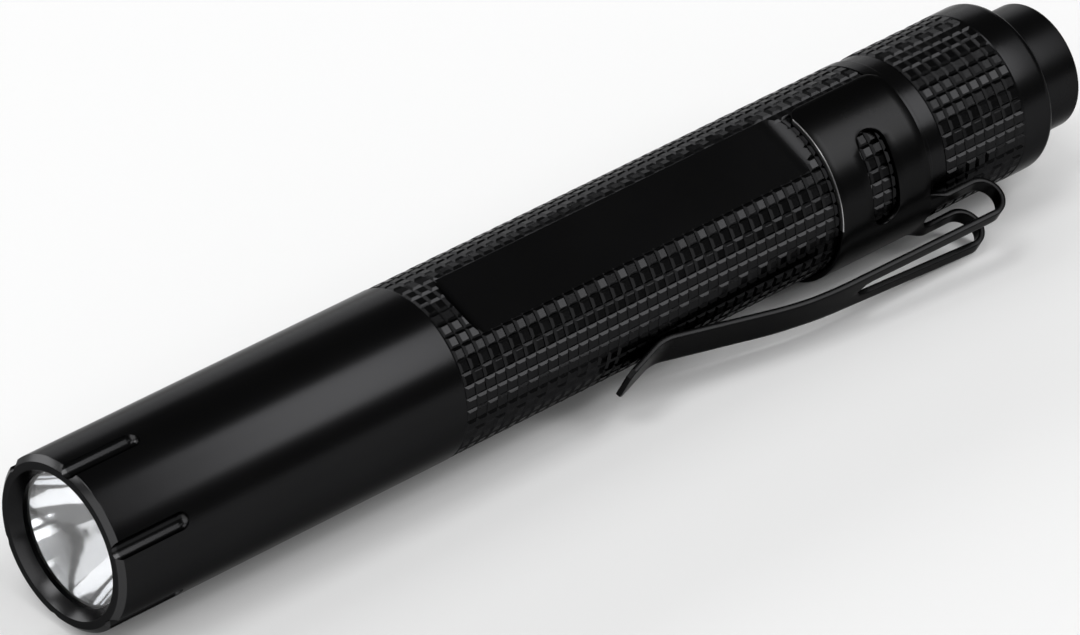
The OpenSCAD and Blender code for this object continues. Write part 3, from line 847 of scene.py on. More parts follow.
@dataclass
class Knurl:
    """Square knurling: rows of flat pads between straight and round grooves."""

    start: float
    end: float
    top_r: float = 7.0 * MM
    columns: int = 43
    pitch: float = 1.02 * MM
    wall_w: float = 0.155 * MM
    wall_h: float = 0.155 * MM
    ease_w: float = 0.045 * MM
    ease_h: float = 0.03 * MM
    inner_r: float = 5.9 * MM
    tilt: float = 0.045
    lift: float = 0.75
    row_turn: float = 12.9898
    column_turn: float = 78.233
    swing_rate: float = 1.7
    swing_start: float = 2.0

    def unevenness(self, row: float, column: float) -> float:
        """Find how far one corner of a pad drops, each pad leaning its own way.

        Args:
            row: Place along the axis, in pads.
            column: Place round the barrel, in pads.

        Returns:
            The drop, never negative.
        """
        pad = math.floor(row) * self.row_turn + math.floor(column) * self.column_turn
        lean, swing = math.sin(pad), math.sin(pad * self.swing_rate + self.swing_start)
        corner = lean * (row % 1.0 - 0.5) + swing * (column % 1.0 - 0.5)
        return self.tilt * self.pitch * (corner + self.lift)

    def build(self, name: str) -> bpy.types.Object:
        """Model the knurled sleeve as a closed solid.

        Args:
            name: Name of the new object.

        Returns:
            The sleeve.
        """
        length = self.end - self.start
        rings = round(length / self.pitch)
        floor_r = self.top_r - self.wall_h - self.ease_h
        girth = FULL_TURN * self.top_r
        obj = Bench.sheet(name, rings, self.columns)
        with Bench.editing(obj):
            bpy.ops.transform.resize(value=(length / MM, girth / MM, 1.0), center_override=(0, 0, 0))
            bpy.ops.mesh.inset(use_individual=True, thickness=self.wall_w, depth=self.wall_h)
            bpy.ops.mesh.inset(use_individual=True, thickness=self.ease_w, depth=self.ease_h)
        middle = (self.start + self.end) / 2

        def wrap(point: Vector) -> Vector:
            """Wrap the flat pattern round the barrel.

            Args:
                point: Place on the flat pattern.

            Returns:
                Its place on the barrel.
            """
            row, column = (point.x / length + 0.5) * rings, (point.y / girth + 0.5) * self.columns
            height = point.z
            if height > self.wall_h / 2:
                height -= self.unevenness(row, column)
            return AXIS * (middle + point.x) + outward(FULL_TURN * point.y / girth) * (floor_r + height)

        Bench.reshape(obj, wrap)
        Bench.line_sleeve(obj, self.inner_r / floor_r)
        return obj


@dataclass
class Thread:
    """Screw thread on a neck, fading out at both ends."""

    start: float
    end: float
    crest_r: float
    inner_r: float
    depth: float = 0.3 * MM
    pitch: float = 0.7 * MM
    columns: int = 96
    steps: int = 8
    flat: float = 0.15

    def build(self, name: str) -> bpy.types.Object:
        """Model the threaded sleeve as a closed solid.

        Args:
            name: Name of the new object.

        Returns:
            The sleeve.
        """
        length = self.end - self.start
        rows = round(self.steps * length / self.pitch)

        def wrap(point: Vector) -> Vector:
            """Wrap the flat sheet round the neck and cut the thread into it.

            Args:
                point: Place on the flat sheet.

            Returns:
                Its place on the thread.
            """
            turn, place = point.y / MM, (point.x / MM + 0.5) * length
            wave = abs(2 * ((place / self.pitch - turn) % 1.0) - 1)
            cut = clamp(wave * (1 + 2 * self.flat) - self.flat)
            fade = smoothstep(place / self.pitch) * smoothstep((length - place) / self.pitch)
            radius = self.crest_r - self.depth * cut * fade
            return AXIS * (self.start + place) + outward(FULL_TURN * turn) * radius

        obj = Bench.sheet(name, rows, self.columns)
        Bench.reshape(obj, wrap)
        Bench.line_sleeve(obj, self.inner_r / self.crest_r)
        return obj


@dataclass
class Coil:
    """Compression spring of round wire with closed end turns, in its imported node's place."""

    node: str
    finish: Finish
    body: Body
    front_r: float
    rear_r: float
    turns: float
    closed: float = 0.8
    wire: float = 0.5 * MM
    steps: int = 20
    sides: int = 12

    def rise(self, turn: float, span: float) -> float:
        """Find how far along the axis the wire has come.

        Args:
            turn: Turns from the front end.
            span: Length between the middles of the wire's two ends.

        Returns:
            The distance from the front end.
        """
        shut = self.closed * self.wire
        if turn < self.closed:
            return turn * self.wire
        if turn > self.closed + self.turns:
            return span - (2 * self.closed + self.turns - turn) * self.wire
        return shut + (turn - self.closed) / self.turns * (span - 2 * shut)

    def build(self, dresser: Dresser) -> bpy.types.Object:
        """Wind and dress the spring.

        Args:
            dresser: Gives the spring its finish and its body.

        Returns:
            The spring.
        """
        low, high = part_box(self.node)
        half = self.wire / 2
        span = high[0] - low[0] - self.wire
        total = self.turns + 2 * self.closed

        def wind(point: Vector) -> Vector:
            """Roll the flat sheet into wire and wind it.

            Args:
                point: Place on the flat sheet.

            Returns:
                Its place on the spring.
            """
            share, side = point.x / MM + 0.5, FULL_TURN * point.y / MM
            radius = self.front_r + (self.rear_r - self.front_r) * share
            place = low[0] + half + self.rise(share * total, span)
            return (
                AXIS * (place + half * math.sin(side))
                + outward(FULL_TURN * share * total) * (radius + half * math.cos(side))
            )

        obj = Bench.sheet(f"{self.node}_wire", round(total * self.steps), self.sides)
        Bench.reshape(obj, wind)
        with Bench.editing(obj):
            bpy.ops.mesh.remove_doubles(threshold=MERGE)
            bpy.ops.mesh.fill_holes(sides=0)
            Bench.close_mesh()
        Bench.smooth(obj)
        dresser.add(obj, self.finish, self.body, self.node)
        return obj


@dataclass
class Head:
    """Smooth head with its milled bezel, and the optics in its mouth."""

    radius: float = 7.0 * MM
    length: float = 33.4 * MM
    chamfer: float = 0.45 * MM
    rear_edge: float = 0.15 * MM
    mouth_r: float = 5.95 * MM
    lip_r: float = 5.35 * MM
    lip_depth: float = 1.0 * MM
    bore_r: float = 5.9 * MM
    bore_end: float = 27.2 * MM
    thread_r: float = 6.2 * MM
    seal_r: float = 6.54 * MM
    seal_start: float = 31.6 * MM
    edge_ease: float = 0.05 * MM
    groove_count: int = 6
    groove_phase: float = math.radians(9)
    groove_len: float = 6.8 * MM
    groove_depth: float = 0.55 * MM
    cutter_r: float = 0.75 * MM
    cutter_sides: int = 48
    cutter_overrun: float = 1.5 * MM
    nose_share: float = 0.98
    nose_steps: int = 12
    reflector_start: float = 2.0 * MM
    reflector_len: float = 6.7 * MM
    reflector_mouth_r: float = 5.25 * MM
    reflector_throat_r: float = 1.6 * MM
    reflector_out_r: float = 5.85 * MM
    reflector_flange: float = 1.2 * MM
    reflector_tail_r: float = 3.2 * MM
    reflector_steps: int = 40
    contact_r: float = 1.7 * MM
    contact_turns: float = 4.0

    def shell(self) -> bpy.types.Object:
        """Turn the head and mill its grooves.

        Returns:
            The head.
        """
        outline = [
            (0.0, self.mouth_r),
            (0.0, self.radius - self.chamfer),
            (self.chamfer, self.radius),
            (self.length - self.rear_edge, self.radius),
            (self.length, self.radius - self.rear_edge),
            (self.length, self.seal_r),
            (self.seal_start, self.seal_r),
            (self.seal_start, self.thread_r),
            (self.bore_end, self.thread_r),
            (self.bore_end, self.bore_r),
            (self.lip_depth, self.bore_r),
            (self.lip_depth, self.lip_r),
        ]
        obj = Bench.turn("head", eased(outline, self.edge_ease))
        for index in range(self.groove_count):
            angle = self.groove_phase + FULL_TURN * index / self.groove_count
            Bench.combine(obj, self.cutter(angle), Join.CUT)
        Bench.smooth(obj)
        return obj

    def cutter(self, angle: float) -> bpy.types.Object:
        """Model the ball-nosed cutter where it ends a groove.

        Args:
            angle: Angle of the groove from the clip.

        Returns:
            The cutter.
        """
        centre_r = self.radius - self.groove_depth + self.cutter_r
        rise = self.cutter_r - self.groove_depth
        ball = self.groove_len - math.sqrt(self.cutter_r ** 2 - rise ** 2)
        end = ball + self.cutter_r
        start = -self.cutter_overrun
        Bench.clear()
        bpy.ops.mesh.primitive_cylinder_add(
            vertices=self.cutter_sides,
            radius=self.cutter_r,
            depth=end - start,
            location=AXIS * (start + end) / 2 + outward(angle) * centre_r,
            rotation=(0, math.pi / 2, 0),
        )
        obj = bpy.context.object
        bpy.ops.object.transform_apply(location=True, rotation=True, scale=True)
        with Bench.editing(obj):
            Bench.pick(Part.EDGE, lambda middle: middle.x > end - MERGE)
            bpy.ops.mesh.bevel(offset=self.cutter_r * self.nose_share, segments=self.nose_steps)
        return obj

    def reflector(self) -> bpy.types.Object:
        """Turn the parabolic reflector.

        Returns:
            The reflector.
        """
        mouth, throat = self.reflector_mouth_r ** 2, self.reflector_throat_r ** 2
        bowl = []
        for step in range(self.reflector_steps + 1):
            share = 1 - step / self.reflector_steps
            radius = math.sqrt(mouth * (1 - share) + throat * share)
            bowl.append((self.reflector_start + self.reflector_len * share, radius))
        back = [
            (self.reflector_start, self.reflector_out_r),
            (self.reflector_start + self.reflector_flange, self.reflector_out_r),
            (self.reflector_start + self.reflector_len, self.reflector_tail_r),
        ]
        obj = Bench.turn("reflector_bowl", bowl + back)
        Bench.smooth(obj)
        return obj

    def build(self, dresser: Dresser) -> None:
        """Build and dress the head's pieces.

        Args:
            dresser: Gives each piece its finish and its body.
        """
        dresser.add(self.shell(), Finish.BLACK_ANODISED, Body.TORCH, "head_shell")
        Coil(
            "positive_spring",
            Finish.CONTACT_GOLD,
            Body.TORCH,
            front_r=self.contact_r,
            rear_r=self.contact_r,
            turns=self.contact_turns,
        ).build(dresser)
        dresser.add(self.reflector(), Finish.MIRROR_COAT, Body.TORCH, "reflector")


@dataclass
class Grip:
    """Knurled battery tube with its collar, its necks and its milled flat."""

    radius: float = 7.0 * MM
    start: float = 33.4 * MM
    knurl_end: float = 80.32 * MM
    end: float = 81.4 * MM
    land_r: float = 6.97 * MM
    collar_r: float = 6.87 * MM
    collar_end: float = 82.9 * MM
    neck_r: float = 6.15 * MM
    neck_start: float = 27.3 * MM
    neck_end: float = 87.95 * MM
    bore_r: float = 5.45 * MM
    groove_floor_r: float = 5.78 * MM
    groove_w: float = 0.9 * MM
    groove_setback: float = 0.9 * MM
    thread_start: float = 84.7 * MM
    thread_root_r: float = 5.8 * MM
    thread_inner_r: float = 5.6 * MM
    thread_gap: float = 0.01 * MM
    edge_ease: float = 0.05 * MM
    ease_steps: int = 2
    seat_r: float = 6.052 * MM
    flat_angle: float = math.radians(-97)
    flat_start: float = 37.1 * MM
    flat_end: float = 69.0 * MM
    flat_depth: float = 0.79 * MM
    flat_cutter_r: float = 1.64 * MM
    flat_cutter_steps: int = 16
    flat_run_out_r: float = 3.2 * MM
    flat_run_out_angle: float = 60.0
    flat_run_out_steps: int = 24
    smooth_angle: float = math.radians(14)

    def core(self) -> bpy.types.Object:
        """Turn the tube under the knurling, with its collar and necks.

        Returns:
            The tube.
        """
        front = self.start - self.groove_setback
        rear = self.collar_end + self.groove_setback
        half = self.groove_w / 2
        outline = [
            (self.neck_start, self.bore_r),
            (self.neck_start, self.neck_r),
            (front - half, self.neck_r),
            (front - half, self.groove_floor_r),
            (front + half, self.groove_floor_r),
            (front + half, self.neck_r),
            (self.start + self.groove_w, self.neck_r),
            (self.knurl_end - self.groove_w, self.neck_r),
            (self.knurl_end - self.groove_w, self.seat_r),
            (self.knurl_end - self.edge_ease, self.seat_r),
            (self.knurl_end - self.edge_ease, self.land_r),
            (self.end, self.land_r),
            (self.end, self.collar_r),
            (self.collar_end, self.collar_r),
            (self.collar_end, self.neck_r),
            (rear - half, self.neck_r),
            (rear - half, self.groove_floor_r),
            (rear + half, self.groove_floor_r),
            (rear + half, self.neck_r),
            (self.thread_start, self.neck_r),
            (self.thread_start, self.thread_root_r),
            (self.neck_end, self.thread_root_r),
            (self.neck_end, self.bore_r),
        ]
        return Bench.turn("grip_core", eased(outline, self.edge_ease, self.ease_steps))

    def flat_cutter(self) -> bpy.types.Object:
        """Model the milling cutter's path: a flat with a concave ramp at each end.

        Returns:
            The path as a solid.
        """
        floor = self.radius - self.flat_depth
        rear, rear_r = (self.flat_end, floor + self.flat_run_out_r), self.flat_run_out_r
        front, front_r = (self.flat_start, floor + self.flat_cutter_r), self.flat_cutter_r
        sides = arc(rear, rear_r, -90, self.flat_run_out_angle - 90, self.flat_run_out_steps)
        sides += arc(front, front_r, -180, -90, self.flat_cutter_steps)
        up = outward(self.flat_angle)
        side = along(self.flat_angle)
        points = [AXIS * x + up * height - side * self.radius for x, height in sides]
        return Bench.prism("flat_cutter", points, side * 2 * self.radius)

    def build(self, dresser: Dresser) -> None:
        """Build and dress the battery tube.

        Args:
            dresser: Gives the tube its finish and its body.
        """
        obj = Knurl(self.start, self.knurl_end).build("grip")
        Bench.combine(obj, self.core(), Join.ADD)
        Bench.combine(obj, self.flat_cutter(), Join.CUT)
        thread = Thread(
            self.thread_start - self.edge_ease,
            self.neck_end - self.edge_ease,
            self.neck_r - self.thread_gap,
            self.thread_inner_r,
        )
        Bench.combine(obj, thread.build("neck_thread"), Join.ADD)
        Bench.smooth(obj, self.smooth_angle)
        dresser.add(obj, Finish.BLACK_ANODISED, Body.TORCH, "body_tube")


@dataclass
class Tail:
    """Knurled tail cap and the push button in it."""

    radius: float = 7.0 * MM
    start: float = 83.0 * MM
    knurl_end: float = 91.5 * MM
    end: float = 94.7 * MM
    edge_r: float = 0.8 * MM
    seal_r: float = 6.54 * MM
    seal_end: float = 84.8 * MM
    thread_r: float = 6.2 * MM
    thread_end: float = 89.45 * MM
    flange_r: float = 6.0 * MM
    flange_end: float = 90.35 * MM
    bore_r: float = 5.6 * MM
    bore_end: float = 93.2 * MM
    hole_r: float = 5.3 * MM
    sleeve_r: float = 6.6 * MM
    skin_r: float = 6.7 * MM
    edge_ease: float = 0.05 * MM
    ease_steps: int = 2
    edge_steps: int = 8
    button_r: float = 5.2 * MM
    button_start: float = 92.1 * MM
    button_end: float = 99.2 * MM
    button_edge: float = 0.3 * MM
    button_edge_steps: int = 6
    button_flange_r: float = 5.55 * MM
    button_flange_end: float = 92.7 * MM
    button_bore_r: float = 3.9 * MM
    button_floor: float = 97.9 * MM
    press: float = 1.5 * MM
    contact_r: tuple[float, float] = (2.8 * MM, 4.2 * MM)
    contact_turns: float = 4.0
    spring_r: float = 2.7 * MM
    spring_turns: float = 5.0

    def cap(self) -> bpy.types.Object:
        """Knurl the cap's sleeve and join the turned cap to it.

        Returns:
            The cap.
        """
        sleeve = Knurl(self.start, self.knurl_end, inner_r=self.sleeve_r).build("tail_cap_shell")
        outline = eased([
            (self.start + self.edge_ease, self.seal_r),
            (self.start + self.edge_ease, self.skin_r),
            (self.knurl_end - self.edge_r / 2, self.skin_r),
            (self.knurl_end - self.edge_r / 2, self.radius - self.edge_r / 4),
            (self.knurl_end, self.radius),
        ], self.edge_ease, self.ease_steps)
        corner = (self.end - self.edge_r, self.radius - self.edge_r)
        outline += arc(corner, self.edge_r, 90, 0, self.edge_steps)
        outline += eased([
            (self.end, self.hole_r),
            (self.bore_end, self.hole_r),
            (self.bore_end, self.bore_r),
            (self.flange_end, self.bore_r),
            (self.flange_end, self.flange_r),
            (self.thread_end, self.flange_r),
            (self.thread_end, self.thread_r),
            (self.seal_end, self.thread_r),
            (self.seal_end, self.seal_r),
        ], self.edge_ease, self.ease_steps)
        Bench.combine(sleeve, Bench.turn("cap_core", outline), Join.ADD)
        Bench.smooth(sleeve)
        return sleeve

    def button(self) -> bpy.types.Object:
        """Turn the push button.

        Returns:
            The button.
        """
        outline = [
            (self.button_start, self.button_bore_r),
            (self.button_start, self.button_flange_r),
            (self.button_flange_end, self.button_flange_r),
            (self.button_flange_end, self.button_r),
        ]
        corner = (self.button_end - self.button_edge, self.button_r - self.button_edge)
        outline += arc(corner, self.button_edge, 90, 0, self.button_edge_steps)
        outline += [
            (self.button_end, 0.0),
            (self.button_floor, 0.0),
            (self.button_floor, self.button_bore_r),
        ]
        obj = Bench.turn("push_button", outline)
        Bench.smooth(obj)
        return obj

    def build(self, dresser: Dresser) -> None:
        """Build and dress the tail's pieces.

        Args:
            dresser: Gives each piece its finish and its body.
        """
        dresser.add(self.cap(), Finish.BLACK_ANODISED, Body.TAIL_CAP, "tail_cap")
        dresser.add(self.button(), Finish.BUTTON_BLACK, Body.BUTTON, "button")
        Coil(
            "negative_spring", Finish.CONTACT_GOLD, Body.TAIL_MODULE, *self.contact_r, self.contact_turns
        ).build(dresser)
        spring = Coil(
            "button_return_spring",
            Finish.SPRING_STEEL,
            Body.BUTTON,
            front_r=self.spring_r,
            rear_r=self.spring_r,
            turns=self.spring_turns,
        ).build(dresser)
        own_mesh(spring)


@dataclass
class Clip:
    """Spring clip cut from one sheet: a slotted band round the grip, a loop and a forked arm."""

    sheet: float = 0.45 * MM
    band_r: float = 7.265 * MM
    band_start: float = 71.3 * MM
    band_end: float = 80.7 * MM
    band_half: float = math.radians(113)
    corner_r: float = 1.3 * MM
    corner_steps: int = 6
    slot_from: float = math.radians(18)
    slot_to: float = math.radians(80)
    slot_w: float = 2.8 * MM
    slot_rows: int = 6
    slot_columns: int = 14
    rim_rows: int = 4
    near_columns: int = 4
    far_columns: int = 13
    width: float = 5.7 * MM
    tip_width: float = 3.5 * MM
    tip_ease: float = 0.5 * MM
    rail: float = 1.3 * MM
    fork_start: float = 0.45 * MM
    fork_x: float = 72.0 * MM
    fork_ease: float = 1.2 * MM
    tongue_r: float = 7.385 * MM
    tongue_rise: float = 1.5 * MM
    tongue_steps: int = 8
    loop_x: float = 84.8 * MM
    loop_r: float = 1.55 * MM
    loop_steps: int = 28
    shoulder_x: float = 66.3 * MM
    shoulder_drop: float = 0.55 * MM
    shoulder_r: float = 45.0 * MM
    shoulder_steps: int = 20
    heel_x: float = 53.0 * MM
    heel_r: float = 4.0 * MM
    heel_steps: int = 16
    heel_gap: float = 0.06 * MM
    tip_x: float = 48.5 * MM
    tip_rise: float = 1.4 * MM
    barrel_r: float = 7.0 * MM
    stride: float = 0.6 * MM
    edge: float = 0.07 * MM
    edge_steps: int = 2
    edge_angle: float = math.radians(50)
    columns: int = 5
    flatten: float = 1.6 * MM
    hinge_x: float = 85.6 * MM
    hinge_r: float = 10.4 * MM
    hinge_slant: float = 0.2
    hinge_reach: float = 1.173 * MM

    @staticmethod
    def bend(before: Vector, apex: Vector, after: Vector, radius: float, steps: int) -> list[Vector]:
        """Return the arc that rounds a corner of the arm's line.

        Args:
            before: Point before the corner.
            apex: The corner.
            after: Point after the corner.
            radius: Radius of the bend.
            steps: Number of chords.

        Returns:
            The points of the arc.
        """
        back = (before - apex).normalized()
        ahead = (after - apex).normalized()
        half = back.angle(ahead) / 2
        centre = apex + (back + ahead).normalized() * radius / math.sin(half)
        first = apex + back * radius / math.tan(half) - centre
        last = apex + ahead * radius / math.tan(half) - centre
        sweep = first.angle(last)
        points = []
        for step in range(steps + 1):
            angle = sweep * step / steps
            turned = first * math.sin(sweep - angle) + last * math.sin(angle)
            points.append(centre + turned / math.sin(sweep))
        return points

    def line(self) -> list[Vector]:
        """Draw the arm's middle line from the band's rear edge to the tip.

        Returns:
            Points as place along the axis and radius.
        """
        arm_r = self.tongue_r + 2 * self.loop_r
        start = Vector((self.loop_x, arm_r))
        shoulder = Vector((self.shoulder_x, arm_r - self.shoulder_drop))
        ramp = math.atan2(shoulder.y - self.barrel_r, self.shoulder_x - self.heel_x)
        half = (ramp + math.atan2(self.tip_rise, self.heel_x - self.tip_x)) / 2
        sag = self.heel_r / math.cos(half) - self.heel_r
        heel = Vector((self.heel_x, self.barrel_r + self.heel_gap + self.sheet / 2 - sag))
        tip = Vector((self.tip_x, heel.y + self.tip_rise))
        points = [Vector((self.band_end, self.band_r))]
        for step in range(1, self.tongue_steps + 1):
            share = step / self.tongue_steps
            points.append(Vector((
                self.band_end + self.tongue_rise * share,
                self.band_r + (self.tongue_r - self.band_r) * smoothstep(share),
            )))
        loop = arc((self.loop_x, self.tongue_r + self.loop_r), self.loop_r, -90, 90, self.loop_steps)
        points += [Vector(point) for point in loop]
        points += self.bend(start, shoulder, heel, self.shoulder_r, self.shoulder_steps)
        points += self.bend(shoulder, heel, tip, self.heel_r, self.heel_steps)
        points += [tip]
        return self.dense(points, self.stride)

    @staticmethod
    def dense(points: list[Vector], longest: float) -> list[Vector]:
        """Divide the long straights of a line.

        Args:
            points: Points of the line.
            longest: The longest straight that stays whole.

        Returns:
            The points of the divided line.
        """
        out = [points[0]]
        for here, there in zip(points, points[1:]):
            parts = max(1, math.ceil((there - here).length / longest))
            out += [here.lerp(there, part / parts) for part in range(1, parts + 1)]
        return out

    def half_blank(self, lengths: list[float]) -> bpy.types.Object:
        """Cut one half of the flat sheet: the band with its slot, and the arm.

        Args:
            lengths: Distances along the arm from the band's rear edge.

        Returns:
            The half sheet, with x across and y along.
        """
        far = self.band_r * self.band_half
        band_len = self.band_end - self.band_start
        slot_a, slot_b = self.band_r * self.slot_from, self.band_r * self.slot_to
        middle = -band_len / 2
        slot_r = self.slot_w / 2
        Bench.clear()
        bpy.ops.mesh.primitive_plane_add(size=MM)
        obj = bpy.context.object
        obj.name = "clip_strip"
        with Bench.editing(obj):
            bpy.ops.transform.resize(value=(far / MM, band_len / MM, 1.0), center_override=(0, 0, 0))
            bpy.ops.transform.translate(value=(far / 2, middle, 0))
            self.round_corners(far, band_len)
            first, last, rail = slot_a + slot_r, slot_b - slot_r, self.width / 2
            columns = self.divide(0.0, rail, self.columns) + [rail]
            columns += self.divide(rail, first, self.near_columns) + [first]
            columns += self.divide(first, last, self.slot_columns) + [last]
            columns += self.divide(last, far, self.far_columns)
            for place in columns:
                bpy.ops.mesh.select_all(action="SELECT")
                bpy.ops.mesh.bisect(plane_co=(place, 0, 0), plane_no=(1, 0, 0))
            quarter = math.pi / 2 / self.slot_rows
            rows = [slot_r * math.sin(quarter * step) for step in range(-self.slot_rows, self.slot_rows + 1)]
            rim = self.divide(slot_r, band_len / 2, self.rim_rows)
            for place in rows + [-row for row in rim] + rim:
                bpy.ops.mesh.select_all(action="SELECT")
                bpy.ops.mesh.bisect(plane_co=(0, middle + place, 0), plane_no=(0, 1, 0))
            Bench.pick(Part.FACE, lambda at: first < at.x < last and abs(at.y - middle) < slot_r)
            bpy.ops.mesh.delete(type="FACE")
            Bench.pick(Part.EDGE, lambda at: at.y > -MERGE and at.x < self.width / 2)
            for here, there in zip(lengths, lengths[1:]):
                bpy.ops.mesh.extrude_edges_move(TRANSFORM_OT_translate={"value": (0, there - here, 0)})
        self.open_slot(obj, first, last, middle, far)
        return obj

    @staticmethod
    def divide(start: float, end: float, count: int) -> list[float]:
        """Return the places between two ends that divide a length into equal parts."""
        return [start + (end - start) * step / count for step in range(1, count)]

    def round_corners(self, far: float, band_len: float) -> None:
        """Round the two corners of the band's open end.

        Args:
            far: Place of the open end.
            band_len: Length of the band along the axis.
        """
        def is_corner(at: Vector) -> bool:
            """Say whether a point is a corner of the open end."""
            return at.x > far - MERGE and min(abs(at.y), abs(at.y + band_len)) < MERGE

        Bench.pick(Part.CORNER, is_corner)
        bpy.ops.mesh.bevel(
            offset=self.corner_r, segments=self.corner_steps, affect="VERTICES", clamp_overlap=False
        )

    def open_slot(self, obj: bpy.types.Object, first: float, last: float, middle: float, far: float) -> None:
        """Round the ends of the band's slot, and squeeze the sheet's divisions beside them.

        Args:
            obj: The half sheet.
            first: Place of the first arc's centre.
            last: Place of the last arc's centre.
            middle: Place of the slot's middle line along the sheet.
            far: Place of the band's open end.
        """
        slot_r = self.slot_w / 2

        def rule(point: Vector) -> Vector:
            """Push the slot's square ends out to half rounds.

            Args:
                point: Place on the sheet.

            Returns:
                Its new place.
            """
            off = abs(point.y - middle)
            if off < slot_r:
                bulge = math.sqrt(slot_r ** 2 - off ** 2)
                if point.x < first + MERGE:
                    point.x *= (first - bulge) / first
                elif point.x > last - MERGE:
                    point.x = far - (far - point.x) * (far - last - bulge) / (far - last)
            return point

        Bench.reshape(obj, rule)

    def half_width(self, x: float, on_arm: bool) -> float:
        """Find half of the arm's width.

        Args:
            x: Place along the axis.
            on_arm: Whether the place is past the loop's top.

        Returns:
            Half of the width.
        """
        if not on_arm:
            return self.width / 2
        share = (x - self.shoulder_x) / (self.loop_x - self.shoulder_x)
        half = (self.tip_width + (self.width - self.tip_width) * clamp(share)) / 2
        return half - self.tip_ease * (1 - quarter_round((x - self.tip_x) / self.tip_ease))

    def build(self, dresser: Dresser) -> None:
        """Cut, fold and dress the clip.

        Args:
            dresser: Gives the clip its finish.
        """
        line = self.line()
        lengths = [0.0]
        for here, there in zip(line, line[1:]):
            lengths.append(lengths[-1] + (there - here).length)
        top = next(i for i, point in enumerate(line) if point.y > self.tongue_r + self.loop_r)
        fork_end = next(
            length for point, length in zip(line[top:], lengths[top:]) if point.x < self.fork_x
        )
        obj = self.half_blank(lengths)

        def slot_half(length: float, half: float) -> float:
            """Find half of the fork's opening.

            Args:
                length: Distance along the arm.
                half: Half of the arm's width there.

            Returns:
                Half of the opening.
            """
            inside = min(length - self.fork_start, fork_end - length)
            return (half - self.rail) * quarter_round(inside / self.fork_ease)

        def row(length: float) -> int:
            """Return the row of the arm's line at a distance along it."""
            return min(range(len(lengths)), key=lambda i: abs(lengths[i] - length))

        def taper(point: Vector) -> Vector:
            """Narrow the arm and open its fork.

            Args:
                point: Place on the sheet.

            Returns:
                Its new place.
            """
            if point.y > MERGE:
                index = row(point.y)
                half = self.half_width(line[index].x, index >= top)
                gap = slot_half(lengths[index], half)
                point.x = gap + (half - gap) * point.x / (self.width / 2)
            return point

        Bench.reshape(obj, taper)
        Bench.apply(obj, "MIRROR", {"use_axis": (True, False, False), "merge_threshold": WELD})

        def fold(point: Vector) -> Vector:
            """Fold the flat sheet to the clip's shape.

            Args:
                point: Place on the sheet.

            Returns:
                Its place on the clip.
            """
            across, length = point.x, point.y
            angle = across / self.band_r
            x, radius, flat = self.band_end + length, self.band_r, 0.0
            if length > MERGE:
                index = row(length)
                x, radius = line[index]
                flat = smoothstep(length / self.flatten)
            out = radius - (1 - flat) * self.band_r * (1 - math.cos(angle))
            side = (1 - flat) * self.band_r * math.sin(angle) + flat * across
            return AXIS * x + outward(0.0) * out + along(0.0) * side

        Bench.reshape(obj, fold)
        with Bench.editing(obj):
            bpy.ops.mesh.remove_doubles(threshold=WELD)
            bpy.ops.mesh.normals_make_consistent(inside=False)
        Bench.apply(obj, "SOLIDIFY", {"thickness": self.sheet, "offset": 0.0, "use_even_offset": True})
        Bench.apply(obj, "BEVEL", {
            "width": self.edge,
            "segments": self.edge_steps,
            "limit_method": "ANGLE",
            "angle_limit": self.edge_angle,
            "use_clamp_overlap": False,
        })
        Bench.smooth(obj)
        dresser.dress(obj, Finish.CLIP_BLACK)
        start = AXIS * self.hinge_x + outward(0.0) * self.hinge_r
        reach = (outward(0.0) - AXIS * self.hinge_slant) * self.hinge_reach
        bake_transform(obj)
        dresser.declare(obj, Finish.CLIP_BLACK, "clip_band", "clip_arm")


@dataclass(frozen=True)
class Softbox:
    """A plain rectangular studio lamp."""

    name: str
    towards: tuple[float, float, float]
    distance: float
    size: tuple[float, float]
    radiance: float


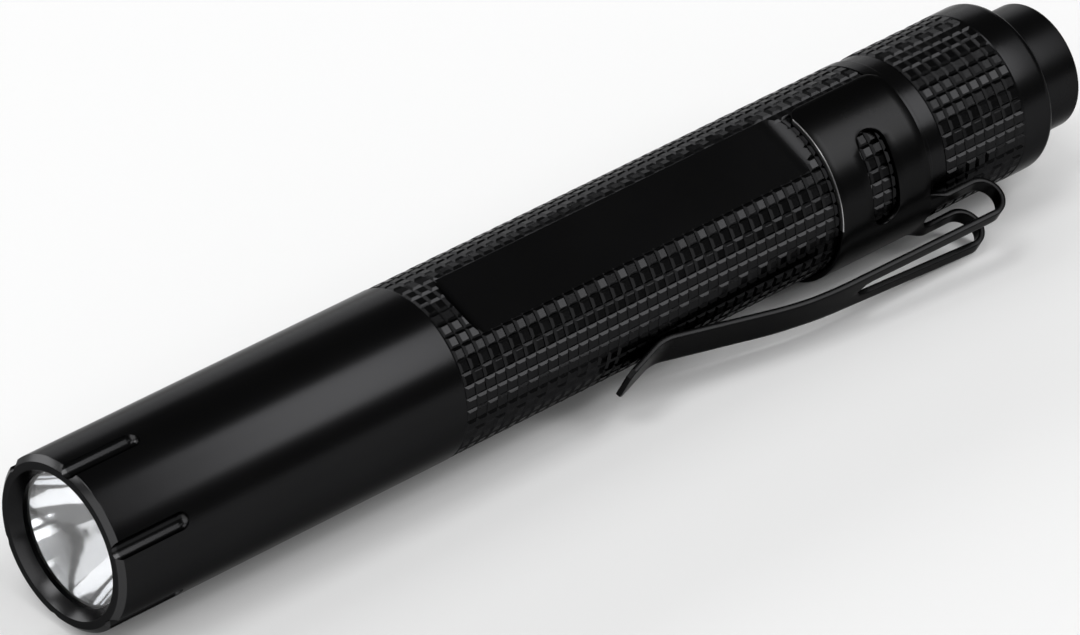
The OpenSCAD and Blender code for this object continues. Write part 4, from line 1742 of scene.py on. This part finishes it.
@dataclass
class Studio:
    """Pale floor, soft lamps and the photograph's camera.

    A lamp of one square metre with a radiance of one takes lamp_watts.
    """

    aim: tuple[float, float, float] = (46.5 * MM, -0.41 * MM, -0.45 * MM)
    azimuth: float = math.radians(42.795)
    elevation: float = math.radians(33.883)
    distance: float = 661.12 * MM
    roll: float = math.radians(0.949)
    lens: float = 293.208
    sensor: float = 36.0
    clip_start: float = 0.01
    floor_size: float = 6.0
    floor_colour: Colour = (0.87, 0.87, 0.87)
    floor_shade: Colour = (0.89, 0.89, 0.89)
    floor_cloud: float = 3.0
    floor_roughness: float = 0.9
    floor_gloss: float = 0.1
    ambient: Colour = (0.168, 0.168, 0.168)
    lamp_watts: float = 4.0
    lamps: tuple[Softbox, ...] = (
        Softbox("side_strip", (0.564, -0.44, 0.7), 0.6, (0.42, 0.18), 5.0),
        Softbox("rear_strip", (0.564, 0.818, 0.2), 0.7, (0.3, 0.6), 2.4),
        Softbox("backdrop", (-0.22, 0.94, 0.27), 1.1, (0.55, 1.1), 2.9),
        Softbox("head_key", (-0.6, 0.45, 0.66), 0.9, (0.3, 0.3), 3.1),
        Softbox("top_panel", (-0.3, 0.05, 0.95), 0.9, (0.3, 0.45), 3.5),
        Softbox("over_strip", (0.0, -0.5, 0.87), 1.0, (0.16, 0.6), 1.8),
        Softbox("front_card", (-0.85, -0.4, 0.35), 0.9, (1.0, 1.0), 1.0),
    )

    def camera(self) -> None:
        """Place the camera at the photograph's angle."""
        level = math.cos(self.elevation)
        ahead = Vector((
            math.sin(self.azimuth) * level,
            math.cos(self.azimuth) * level,
            -math.sin(self.elevation),
        ))
        side = ahead.cross(Vector((0, 0, 1))).normalized()
        top = side.cross(ahead)
        right = side * math.cos(self.roll) + top * math.sin(self.roll)
        up = right.cross(ahead)
        data = bpy.data.cameras.new("camera")
        data.sensor_width = self.sensor
        data.lens = self.lens
        data.clip_start = self.clip_start
        obj = bpy.data.objects.new("camera", data)
        turn = Matrix((right, up, -ahead)).transposed().to_4x4()
        obj.matrix_world = Matrix.Translation(Vector(self.aim) - ahead * self.distance) @ turn
        bpy.context.scene.collection.objects.link(obj)
        bpy.context.scene.camera = obj

    def light(self, lamp: Softbox) -> None:
        """Hang one softbox, facing the penlight's middle.

        Args:
            lamp: The softbox.
        """
        data = bpy.data.lights.new(lamp.name, "AREA")
        data.shape = "RECTANGLE"
        data.size, data.size_y = lamp.size
        data.energy = self.lamp_watts * lamp.size[0] * lamp.size[1] * lamp.radiance
        obj = bpy.data.objects.new(lamp.name, data)
        towards = Vector(lamp.towards).normalized()
        side = AXIS.cross(towards).normalized()
        up = towards.cross(side)
        turn = Matrix((side, up, towards)).transposed().to_4x4()
        obj.matrix_world = Matrix.Translation(Vector(self.aim) + towards * lamp.distance) @ turn
        bpy.context.scene.collection.objects.link(obj)

    def floor(self) -> None:
        """Lay the pale floor under the penlight."""
        Bench.clear()
        bpy.ops.mesh.primitive_plane_add(size=self.floor_size, location=(0, 0, cad_box[0][2]))
        obj = bpy.context.object
        obj.name = "floor"
        paint = Paint("pale_floor")
        cloud = paint.noise(paint.place(), self.floor_cloud)
        obj.data.materials.append(paint.surface({
            "Base Color": paint.mix(cloud, self.floor_colour, self.floor_shade),
            "Roughness": self.floor_roughness,
            "Specular IOR Level": self.floor_gloss,
        }))

    def build(self) -> None:
        """Set up the whole studio."""
        self.camera()
        for lamp in self.lamps:
            self.light(lamp)
        self.floor()
        world = bpy.data.worlds.new("studio")
        world.use_nodes = True
        world.node_tree.nodes["Background"].inputs["Color"].default_value = (*self.ambient, 1.0)
        bpy.context.scene.world = world
        bpy.context.scene.view_settings.view_transform = "Standard"


def main() -> None:
    """Build the penlight on its frame, piece by piece."""
    logging.basicConfig(level=logging.INFO, format="%(name)s: %(message)s")
    Bench.clear()
    dresser = Dresser()
    Studio().build()
    Head().build(dresser)
    Grip().build(dresser)
    Tail().build(dresser)
    Clip().build(dresser)
    for node, finish in CAD_FINISHES.items():
        dresser.dress(frame["nodes"][node], finish)
        log.info("%s: packed solid in %s", node, finish.slot)


if __name__ == "__main__":
    main()
